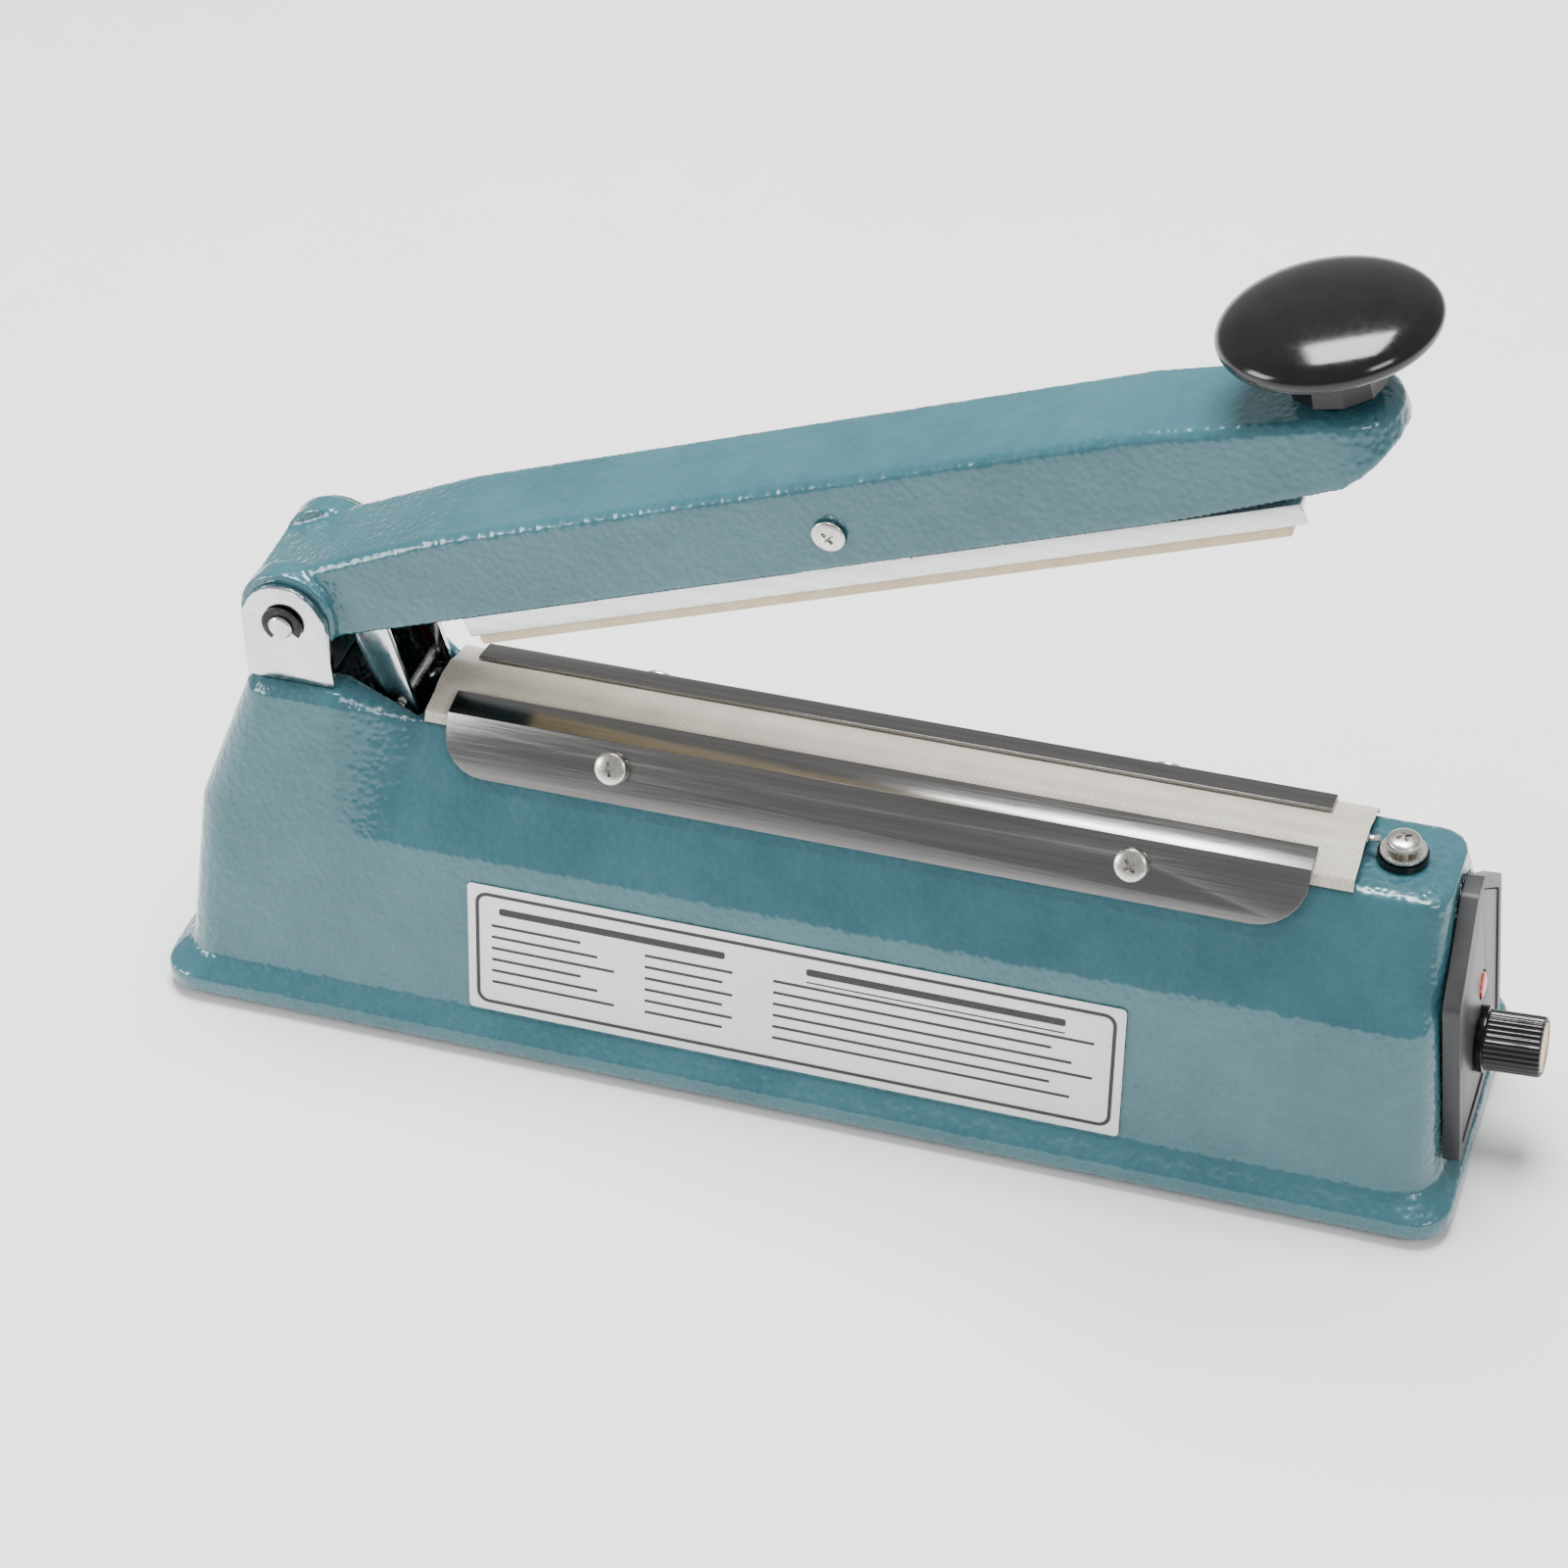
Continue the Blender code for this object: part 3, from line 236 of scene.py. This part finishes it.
RUBBER = finish_of("black_rubber", (0.012, 0.012, 0.012), (0.028, 0.028, 0.028), 0.7,
                   grain=1500.0, bump=0.2, depth=0.0001, patch=200.0)
NICHROME = finish_of("nichrome_ribbon", (0.30, 0.27, 0.23), (0.46, 0.42, 0.36), 0.35, 1.0,
                     grain=1800.0, patch=150.0)
COPPER = finish_of("enamelled_copper", (0.36, 0.12, 0.05), (0.55, 0.20, 0.09), 0.35, 0.9,
                   grain=1500.0, patch=150.0)
CORE_IRON = finish_of("laminated_iron", (0.10, 0.10, 0.10), (0.20, 0.19, 0.18), 0.5, 0.8,
                      grain=2400.0, stretch=(0.05, 1.0, 1.0), patch=300.0)
BOARD = finish_of("circuit_board", (0.012, 0.07, 0.03), (0.02, 0.12, 0.05), 0.4, grain=900.0,
                  patch=120.0)
RED_LENS = finish_of("red_lens", (0.45, 0.012, 0.010), (0.60, 0.03, 0.02), 0.12, grain=700.0,
                     bump=0.05, patch=300.0, coat=0.6, coat_rough=0.05)
CLOTH = weave_of("coated_glass_cloth", (0.58, 0.53, 0.46), (0.72, 0.67, 0.59), 0.55)
FLOOR = finish_of("pale_floor", (0.86, 0.86, 0.86), (0.90, 0.90, 0.90), 0.55, grain=60.0,
                  bump=0.02, depth=0.0002, patch=3.0)


# --- mesh helpers -------------------------------------------------------------------------

def bake(piece):
    """Applies every modifier on the piece to its mesh."""
    graph = bpy.context.evaluated_depsgraph_get()
    mesh = bpy.data.meshes.new_from_object(piece.evaluated_get(graph))
    mesh.name = piece.name
    piece.modifiers.clear()
    piece.data = mesh


def soften(piece, angle):
    """Smooth shading, with edges sharper than the angle kept crisp."""
    piece.data.polygons.foreach_set("use_smooth", [True] * len(piece.data.polygons))
    piece.data.set_sharp_from_angle(angle=math.radians(angle))
    piece.data.update()


def dress(piece, mat, body, angle=35.0):
    """Gives the piece its finish and the body that it moves with."""
    piece.data.materials.clear()
    piece.data.materials.append(mat)
    soften(piece, angle)
    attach(piece, body)
    return piece


def piece_from(name, bm, place=Matrix()):
    """Object at the origin from a mesh in millimetres, moved by place and scaled to metres."""
    bmesh.ops.recalc_face_normals(bm, faces=bm.faces)
    bm.transform(Matrix.Scale(MM, 4) @ place)
    mesh = bpy.data.meshes.new(name)
    bm.to_mesh(mesh)
    bm.free()
    piece = bpy.data.objects.new(name, mesh)
    bpy.context.scene.collection.objects.link(piece)
    return piece


def copy_of(node, name):
    """A new piece with the node's shape, with doubled points welded."""
    bm = bmesh.new()
    bm.from_mesh(NODES[node].data)
    bmesh.ops.remove_doubles(bm, verts=bm.verts, dist=0.00001)
    bm.transform(Matrix.Scale(1.0 / MM, 4))
    return piece_from(name, bm)


def polished(node, mat, body, edge, segments=2, angle=35.0):
    """The node with its sharp edges broken by a small radius."""
    piece = copy_of(node, node + "_fine")
    flat = piece.modifiers.new("flat", 'DECIMATE')
    flat.decimate_type = 'DISSOLVE'
    flat.angle_limit = math.radians(1.0)
    round_edge = piece.modifiers.new("edge", 'BEVEL')
    round_edge.width = edge * MM
    round_edge.segments = segments
    round_edge.limit_method = 'ANGLE'
    round_edge.angle_limit = math.radians(angle)
    bake(piece)
    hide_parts(node)
    return dress(piece, mat, body, angle)


def cast(node, mat, body, voxel, passes, keep, ripple):
    """The node as a real casting: every corner rounded and the skin slightly uneven."""
    piece = copy_of(node, node + "_cast")
    remesh = piece.modifiers.new("remesh", 'REMESH')
    remesh.mode = 'VOXEL'
    remesh.voxel_size = voxel * MM
    smooth = piece.modifiers.new("smooth", 'SMOOTH')
    smooth.factor = 0.5
    smooth.iterations = passes
    bake(piece)
    points = [vert.co.copy() for vert in piece.data.vertices]
    normals = [vert.normal.copy() for vert in piece.data.vertices]
    skin = []
    broad, close = 260.0, 620.0
    for point, normal in zip(points, normals):
        swell = noise.noise(point * broad) + 0.5 * noise.noise(point * close)
        skin.extend(point + normal * swell * ripple * MM)
    piece.data.vertices.foreach_set("co", skin)
    piece.data.update()
    thin = piece.modifiers.new("thin", 'DECIMATE')
    thin.ratio = keep
    bake(piece)
    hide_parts(node)
    return dress(piece, mat, body, 80.0)


def lathe_mesh(rows, steps, shape=None):
    """Solid turned around Z from rows of (radius, height); shape(angle, radius, z) reforms it."""
    bm = bmesh.new()
    rings = []
    for radius, z in rows:
        if radius < TINY:
            rings.append([bm.verts.new((0, 0, z))])
            continue
        ring = []
        for i in range(steps):
            turn = 2 * math.pi * i / steps
            r = shape(turn, radius, z) if shape else radius
            ring.append(bm.verts.new((r * math.cos(turn), r * math.sin(turn), z)))
        rings.append(ring)
    for low, high in zip(rings, rings[1:]):
        for i in range(steps):
            j = (i + 1) % steps
            corners = [low[i % len(low)], low[j % len(low)], high[j % len(high)],
                       high[i % len(high)]]
            bm.faces.new(list(dict.fromkeys(corners)))
    return bm


def curved(points, per_span):
    """A smooth row of points through the given ones."""
    out = []
    last = len(points) - 1
    for i in range(last):
        a, b = Vector(points[max(i - 1, 0)]), Vector(points[i])
        c, d = Vector(points[i + 1]), Vector(points[min(i + 2, last)])
        for k in range(per_span):
            t = k / per_span
            out.append(0.5 * ((2 * b) + (c - a) * t + (2 * a - 5 * b + 4 * c - d) * t * t
                              + (3 * b - a - 3 * c + d) * t ** 3))
    out.append(Vector(points[-1]))
    return out


def turned(name, node, rows, mat, body, place, steps=64, shape=None, angle=35.0):
    """Lathe-turned piece that stands for a node."""
    piece = piece_from(name, lathe_mesh(rows, steps, shape), place)
    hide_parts(node)
    return dress(piece, mat, body, angle)


def cut(piece, cutters):
    """Cuts every cutter out of the piece and removes it."""
    for cutter in cutters:
        step = piece.modifiers.new("cut", 'BOOLEAN')
        step.operation = 'DIFFERENCE'
        step.solver = 'EXACT'
        step.object = cutter
    bake(piece)
    for cutter in cutters:
        bpy.data.objects.remove(cutter, do_unlink=True)


def wedge(name, half_long, half_wide, depth, place):
    """Tapered bar that cuts one slot of a cross recess."""
    bm = bmesh.new()
    rows = [(half_long, half_wide, 1.0), (half_long * 0.45, half_wide * 0.7, -depth)]
    loops = [[bm.verts.new((sx * a, sy * b, z)) for sx, sy in ((-1, -1), (1, -1), (1, 1), (-1, 1))]
             for a, b, z in rows]
    bm.faces.new(loops[0])
    bm.faces.new(reversed(loops[1]))
    for i in range(4):
        j = (i + 1) % 4
        bm.faces.new((loops[0][i], loops[0][j], loops[1][j], loops[1][i]))
    return piece_from(name, bm, place)


def screw(node, mat, body, place, radius, height, shank, length, spin=20.0):
    """Pan head screw, place at the underside of its head; cross recess in the crown."""
    crown = [(radius * math.sin(t), height * (0.45 + 0.55 * math.cos(t)))
             for t in (math.radians(9.0 * i) for i in range(11))]
    rows = crown + [(radius, height * 0.2), (radius - 0.15, 0.0), (shank, 0.0), (shank, -length),
                    (0.0, -length)]
    piece = piece_from(node + "_head", lathe_mesh(rows, 56), place)
    top = place @ moved(z=height) @ turned_to(spin, 'Z')
    size = (radius * 0.62, radius * 0.13, height * 0.75)
    cut(piece, [wedge("slot_a", *size, top), wedge("slot_b", *size, top @ turned_to(90, 'Z'))])
    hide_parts(node)
    return dress(piece, mat, body, 30.0)


def rounded_box_loop(x0, y0, x1, y1, corner, steps=5):
    """Outline of a rectangle with rounded corners."""
    loop = []
    for cx, cy, start in ((x1 - corner, y1 - corner, 0), (x0 + corner, y1 - corner, 90),
                          (x0 + corner, y0 + corner, 180), (x1 - corner, y0 + corner, 270)):
        for k in range(steps + 1):
            turn = math.radians(start + 90.0 * k / steps)
            loop.append((cx + corner * math.cos(turn), cy + corner * math.sin(turn)))
    return loop


def add_plate(bm, outer, low, high, inner=None):
    """Adds a thin plate of the given outline, a ring if inner has as many points."""
    def ring(points, z):
        return [bm.verts.new((x, y, z)) for x, y in points]
    count = len(outer)
    outer_low, outer_high = ring(outer, low), ring(outer, high)
    if inner is None:
        bm.faces.new(outer_high)
        bm.faces.new(list(reversed(outer_low)))
    else:
        inner_low, inner_high = ring(inner, low), ring(inner, high)
        for i in range(count):
            j = (i + 1) % count
            bm.faces.new((outer_high[i], outer_high[j], inner_high[j], inner_high[i]))
            bm.faces.new((outer_low[j], outer_low[i], inner_low[i], inner_low[j]))
            bm.faces.new((inner_low[j], inner_low[i], inner_high[i], inner_high[j]))
    for i in range(count):
        j = (i + 1) % count
        bm.faces.new((outer_low[i], outer_low[j], outer_high[j], outer_high[i]))


# --- camera, light and floor --------------------------------------------------------------

def make_camera():
    """Camera at a long focal length, looking down on the front from the knob side."""
    azimuth, rise, roll = (math.radians(turn) for turn in EYE_TURNS)
    back = Vector((math.sin(azimuth) * math.cos(rise), -math.cos(azimuth) * math.cos(rise),
                   math.sin(rise)))
    right = Vector((math.cos(azimuth), math.sin(azimuth), 0.0))
    up = back.cross(right)
    turned_right = math.cos(roll) * right + math.sin(roll) * up
    turned_up = -math.sin(roll) * right + math.cos(roll) * up
    data = bpy.data.cameras.new("camera")
    data.lens = EYE_LENS
    data.sensor_width = 36.0
    data.clip_start = 0.05
    camera = bpy.data.objects.new("camera", data)
    matrix = Matrix((turned_right, turned_up, back)).transposed().to_4x4()
    eye = (EYE + PIVOT - HINGE) * MM
    camera.matrix_world = Matrix.Translation(eye) @ matrix
    bpy.context.scene.collection.objects.link(camera)
    bpy.context.scene.camera = camera


def soft_light(name, place, target, power, width, height):
    data = bpy.data.lights.new(name, 'AREA')
    data.shape = 'RECTANGLE'
    data.size = width
    data.size_y = height
    data.energy = power
    lamp = bpy.data.objects.new(name, data)
    lamp.location = place
    lamp.rotation_euler = (Vector(target) - Vector(place)).to_track_quat('-Z', 'Y').to_euler()
    bpy.context.scene.collection.objects.link(lamp)


def make_studio():
    """Pale floor, an even sky and three soft lights."""
    world = bpy.data.worlds.new("studio")
    world.use_nodes = True
    sky = world.node_tree.nodes["Background"]
    sky.inputs["Color"].default_value = (1.0, 1.0, 1.0, 1.0)
    sky.inputs["Strength"].default_value = 0.5
    bpy.context.scene.world = world
    soft_light("top_softbox", (-0.05, 0.25, 1.35), (0.0, 0.0, 0.0), 46.0, 0.75, 0.6)
    soft_light("left_softbox", (-1.0, -0.55, 0.42), (-0.1, 0.0, 0.06), 9.0, 0.5, 0.4)
    soft_light("right_softbox", (0.9, -0.5, 0.8), (0.1, 0.0, 0.06), 5.0, 0.4, 0.4)
    bm = bmesh.new()
    bmesh.ops.create_grid(bm, x_segments=40, y_segments=40, size=3000.0)
    floor = piece_from("floor", bm, moved(z=-0.1))
    floor.data.materials.append(FLOOR)


# --- base ---------------------------------------------------------------------------------

def slope_frame(side, x):
    """Upper slope of the casting: local Y up the slope, local Z out of it."""
    across = CREASE_HALF - SHOULDER_HALF
    lean = math.degrees(math.atan2(across, SHOULDER_Z - CREASE_Z))
    height = COVER_LOW_Z - 0.8
    half = CREASE_HALF - across * (height - CREASE_Z) / (SHOULDER_Z - CREASE_Z)
    turn = turned_to(90.0 - lean, 'X')
    if side > 0:
        turn = turned_to(180.0, 'Z') @ turn
    return BASE @ moved(x, side * half, height) @ turn


def front_wall(x, z):
    lean = math.degrees(math.atan2(FLARE_HALF - CREASE_HALF, CREASE_Z - FLARE_Z))
    half = FLARE_HALF - (FLARE_HALF - CREASE_HALF) * (z - FLARE_Z) / (CREASE_Z - FLARE_Z)
    return BASE @ moved(x, -half, z) @ turned_to(90.0 - lean, 'X')


def make_base():
    """Base casting with its hinge bracket, covers, clips and screws."""
    cast("body_casting", ENAMEL, "base", 0.9, 3, 0.45, 0.05)
    polished("hinge_bracket", CHROME, "base", 0.35, 3)
    for label, side in (("front", -1), ("back", 1)):
        polished(label + "_cover_plate", STAINLESS, "base", 0.18)
        for end, x in (("left", COVER_SCREW_X[0]), ("right", COVER_SCREW_X[1])):
            place = slope_frame(side, x) @ moved(0, COVER_SCREW_UP, 1.8)
            screw(f"{label}_cover_screw_{end}", ZINC, "base", place, 3.9, 2.0, 1.45, 7.0,
                  spin=12.0 if x < 0 else 38.0)
        polished("retaining_clip_" + label, BLACK_STEEL, "base", 0.1)
    for label, side in (("front", -1), ("back", 1)):
        low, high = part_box("bracket_screw_" + label)
        place = moved(0.5 * (low[0] + high[0]) / MM, 0.5 * (low[1] + high[1]) / MM,
                      high[2] / MM - 1.4)
        screw("bracket_screw_" + label, ZINC, "base", place, 3.0, 1.4, 0.85, 8.0)


def make_cloth():
    """Coated glass cloth stretched over the element, its free edges slightly uneven."""
    half = [Vector((y, z)) for y, z in CLOTH_HALF]
    section = [Vector((-p.x, p.y)) for p in reversed(half)] + half[1:]
    fine = curved(section, 5)
    steps = 160
    bm = bmesh.new()
    rows = []
    for i in range(steps + 1):
        x = CLOTH_X[0] + (CLOTH_X[1] - CLOTH_X[0]) * i / steps
        row = []
        for point in fine:
            away = min(abs(point.x) / 14.0, 1.0)
            lift = 0.10 * noise.noise(Vector((x * 0.09, point.x * 0.1, 0.0))) * (1.0 - away)
            row.append(bm.verts.new((x, point.x, point.y + lift - 0.02)))
        rows.append(row)
    for low, high in zip(rows, rows[1:]):
        for k in range(len(low) - 1):
            bm.faces.new((low[k], high[k], high[k + 1], low[k + 1]))
    cloth = piece_from("ptfe_cloth_sheet", bm, BASE)
    thick = cloth.modifiers.new("thick", 'SOLIDIFY')
    thick.thickness = CLOTH_THICK * MM
    thick.offset = 0.0
    bake(cloth)
    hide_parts("ptfe_cloth")
    dress(cloth, CLOTH, "base", 50.0)


def make_terminal():
    """Terminal screw at the knob end of the ridge, with its washer."""
    low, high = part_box("terminal_screw")
    top = high[2] / MM - BASE.translation.z
    head = 2.2
    place = BASE @ moved(TERMINAL_X, 0, top - head)
    screw("terminal_screw", ZINC, "base", place, 3.9, head, 1.7, 9.0, spin=30.0)
    low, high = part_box("terminal_washer")
    floor = low[2] / MM - BASE.translation.z
    rows = [(2.0, 0.8), (5.2, 0.8), (5.4, 0.65), (5.4, 0.15), (5.2, 0.0), (2.0, 0.0), (2.0, 0.8)]
    turned("terminal_washer_disc", "terminal_washer", rows, ZINC, "base",
           BASE @ moved(TERMINAL_X, 0, floor))


def make_label():
    """Rating label with a ruled border, a heading bar and blank lines in two columns."""
    low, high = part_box("rating_label")
    centre = (0.5 * (low[0] + high[0]) / MM - BASE.translation.x,
              0.5 * (low[2] + high[2]) / MM - BASE.translation.z)
    width = (high[0] - low[0]) / MM
    height = (Vector(((high[1] - low[1]) / MM, (high[2] - low[2]) / MM))).length
    place = front_wall(*centre)
    polished("rating_label", PAPER, "base", 0.05)
    ink_low, ink_high = 0.62, 0.68
    bm = bmesh.new()
    w, h = width / 2 - 2.0, height / 2 - 2.0
    add_plate(bm, rounded_box_loop(-w, -h, w, h, 3.0), ink_low, ink_high,
              rounded_box_loop(-w + 0.9, -h + 0.9, w - 0.9, h - 0.9, 2.2))
    split = -w * 0.1
    bars = [(-w + 6, h - 5.6, split - 8, 1.9), (split + 12, h - 5.6, w - 12, 1.9)]
    rows = 6
    pitch = (2 * h - 12.0) / rows
    for i in range(rows):
        y = h - 9.2 - i * pitch
        bars.append((-w + 4, y, -w + 4 + (0.32 + 0.06 * (i % 3)) * (split + w), 0.7))
        bars.append((-w + 6 + 0.52 * (split + w), y, split - 6 - 2.5 * (i % 2), 0.7))
        bars.append((split + 4, y, w - 5 - 5.0 * ((i * 2) % 3), 0.7))
    bars.append((split + 12, h - 7.6, w - 12, 0.35))
    for x0, y, x1, thick in bars:
        add_plate(bm, rounded_box_loop(x0, y, x1, y + thick, thick * 0.3, 2), ink_low, ink_high)
    ink = piece_from("label_ruling", bm, place)
    dress(ink, BLACK_INK, "base")


# --- timer panel --------------------------------------------------------------------------

def arc_band(inner, outer, start, end, steps):
    """Outline of a printed arc about the dial's centre, angles in degrees."""
    turns = [math.radians(start + (end - start) * i / steps) for i in range(steps + 1)]
    outline = [(outer * math.cos(t), outer * math.sin(t)) for t in turns]
    outline += [(inner * math.cos(t), inner * math.sin(t)) for t in reversed(turns)]
    return outline


def make_panel():
    """Timer panel with a printed tick ring, red over its last part."""
    polished("timer_bezel", SATIN_PLASTIC, "base", 0.9, 3)
    polished("dial_plate", PANEL_PRINT, "base", 0.12)
    out = DIAL @ TO_END @ turned_to(90, 'Z')
    bm = bmesh.new()
    lift = (PANEL_THICK - 0.38, PANEL_THICK - 0.31)
    add_plate(bm, arc_band(14.9, 15.5, 60, 330, 60), *lift)
    for i in range(10):
        turn = 60.0 + 30.0 * i
        add_plate(bm, arc_band(12.4, 14.4, turn - 1.6, turn + 1.6, 2), *lift)
    dress(piece_from("dial_scale_white", bm, out), WHITE_INK, "base")
    bm = bmesh.new()
    add_plate(bm, arc_band(14.2, 16.0, -28, 56, 30), *lift)
    dress(piece_from("dial_scale_red", bm, out), RED_INK, "base")


def make_timer_knob():
    """Fluted timer knob with a skirt and a spun disc in its end."""
    low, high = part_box("timer_knob")
    start = PANEL_THICK + GAP
    end = start + (high[0] - low[0]) / MM
    flutes, flute_depth = 30, 0.28

    def fluted(turn, radius, z):
        if radius < DIAL_R - 0.8 or z < start + 1.9 or radius > DIAL_R + 0.3:
            return radius
        return radius - flute_depth * (0.5 + 0.5 * math.cos(flutes * turn)) ** 2

    rows = [(0.0, end - 1.3), (DIAL_R - 0.95, end - 1.3), (DIAL_R - 0.95, end - 0.1),
            (DIAL_R - 0.7, end), (DIAL_R - 0.15, end - 0.3), (DIAL_R, end - 0.9),
            (DIAL_R, end - 3.0), (DIAL_R, end - 5.5), (DIAL_R, start + 2.4),
            (DIAL_R + 0.15, start + 1.95), (DIAL_R + 0.7, start + 1.7), (DIAL_R + 0.8, start + 0.4),
            (DIAL_R + 0.6, start), (3.1, start), (3.1, end - 3.0), (0.0, end - 3.0)]
    turned("timer_knob_fluted", "timer_knob", rows, BLACK_PLASTIC, "timer_dial", DIAL @ TO_END,
           240, fluted, 40.0)
    rim = DIAL_R - 1.1
    spun = [(0.0, end - 0.45), (rim * 0.2, end - 0.45), (rim * 0.25, end - 0.4),
            (rim * 0.85, end - 0.4), (rim * 0.9, end - 0.15), (rim - 0.1, end - 0.15),
            (rim, end - 0.3), (rim, end - 1.2), (0.0, end - 1.2)]
    turned("timer_knob_disc", "timer_knob_cap", spun, CREAM, "timer_dial", DIAL @ TO_END, 96)


# --- arm ----------------------------------------------------------------------------------

def make_hand_knob():
    """Mushroom knob on a ten-sided neck."""
    dome = [(KNOB_R * math.sin(t), KNOB_RIM + KNOB_DOME * math.cos(t))
            for t in (math.radians(5.0 * i) for i in range(19))]
    under = curved([(KNOB_R, KNOB_RIM), (KNOB_R - 0.5, KNOB_RIM - 1.6), (21.4, KNOB_RIM - 2.9),
                    (15.5, KNOB_RIM - 4.3), (11.6, KNOB_RIM - 6.6), (10.3, 6.4)], 5)
    rows = dome + [tuple(p) for p in under[1:]]
    rows += [(10.2, 5.0), (10.3, 3.0), (10.5, 1.4), (10.2, 1.0), (3.1, 1.0), (3.1, 13.5), (0, 13.5)]

    def faceted(turn, radius, z):
        if z > 8.5 or radius < 9.0:
            return radius
        sector = math.pi / 5
        off = (turn % sector) - sector / 2
        flat = radius * math.cos(sector / 2) / math.cos(off)
        share = min(max((8.5 - z) / 2.5, 0.0), 1.0)
        return radius + (flat - radius) * share
    turned("hand_knob_moulding", "hand_knob", rows, BLACK_PLASTIC, "arm", KNOB, 120, faceted, 28.0)


def make_arm():
    """Arm casting with its knob, switch lever and rocker screw."""
    cast("arm_casting", ENAMEL, "arm", 0.7, 3, 0.45, 0.05)
    make_hand_knob()
    polished("switch_lever", CHROME, "arm", 0.25)
    place = ARM @ moved(ROCKER[0], -ARM_HALF - GAP, ROCKER[1]) @ TO_FRONT
    screw("rocker_screw", ZINC, "arm", place, 3.9, 1.35, 2.3, 2 * ARM_HALF + 4.0, spin=25.0)
    polished("rocker_nut", ZINC, "arm", 0.25)


def make_bar():
    """Aluminium channel and the silicone strip that it holds."""
    polished("pressure_bar", ALUMINIUM, "pressure_bar_set", 0.2)
    polished("silicone_strip", SILICONE, "pressure_bar_set", 0.35, 3)


# --- carried-over nodes -------------------------------------------------------------------

KEPT = {
    "bottom_plate": ZINC, "ridge_bar": BLACK_PLASTIC, "heating_element": NICHROME,
    "terminal_bush": BLACK_PLASTIC, "heater_lead_right": ZINC, "heater_lead_left": ZINC,
    "left_terminal": ZINC, "pilot_lens": RED_LENS, "timer_potentiometer": ZINC,
    "timer_shaft": ZINC, "timer_board": BOARD,
    "timer_relay": BLACK_PLASTIC, "transformer_core": CORE_IRON, "transformer_coil": COPPER,
    "microswitch": BLACK_PLASTIC, "switch_plunger": RED_LENS, "switch_bracket": ZINC,
    "cord_grommet": RUBBER, "return_spring": ZINC, "hinge_pin": ZINC, "knob_stud": ZINC,
    "trip_pin": ZINC, "bar_carrier": ZINC,
}
for foot in ("front_left", "front_right", "back_left", "back_right"):
    KEPT["rubber_foot_" + foot] = RUBBER
    KEPT["foot_screw_" + foot] = ZINC


def dress_kept():
    """Gives each carried-over node its finish."""
    for node, mat in KEPT.items():
        data = NODES[node].data
        if data.materials:
            for i in range(len(data.materials)):
                NODES[node].material_slots[i].link = 'OBJECT'
                NODES[node].material_slots[i].material = mat
        else:
            data.materials.append(mat)


make_camera()
make_studio()
make_base()
make_cloth()
make_terminal()
make_label()
make_panel()
make_timer_knob()
make_arm()
make_bar()
dress_kept()
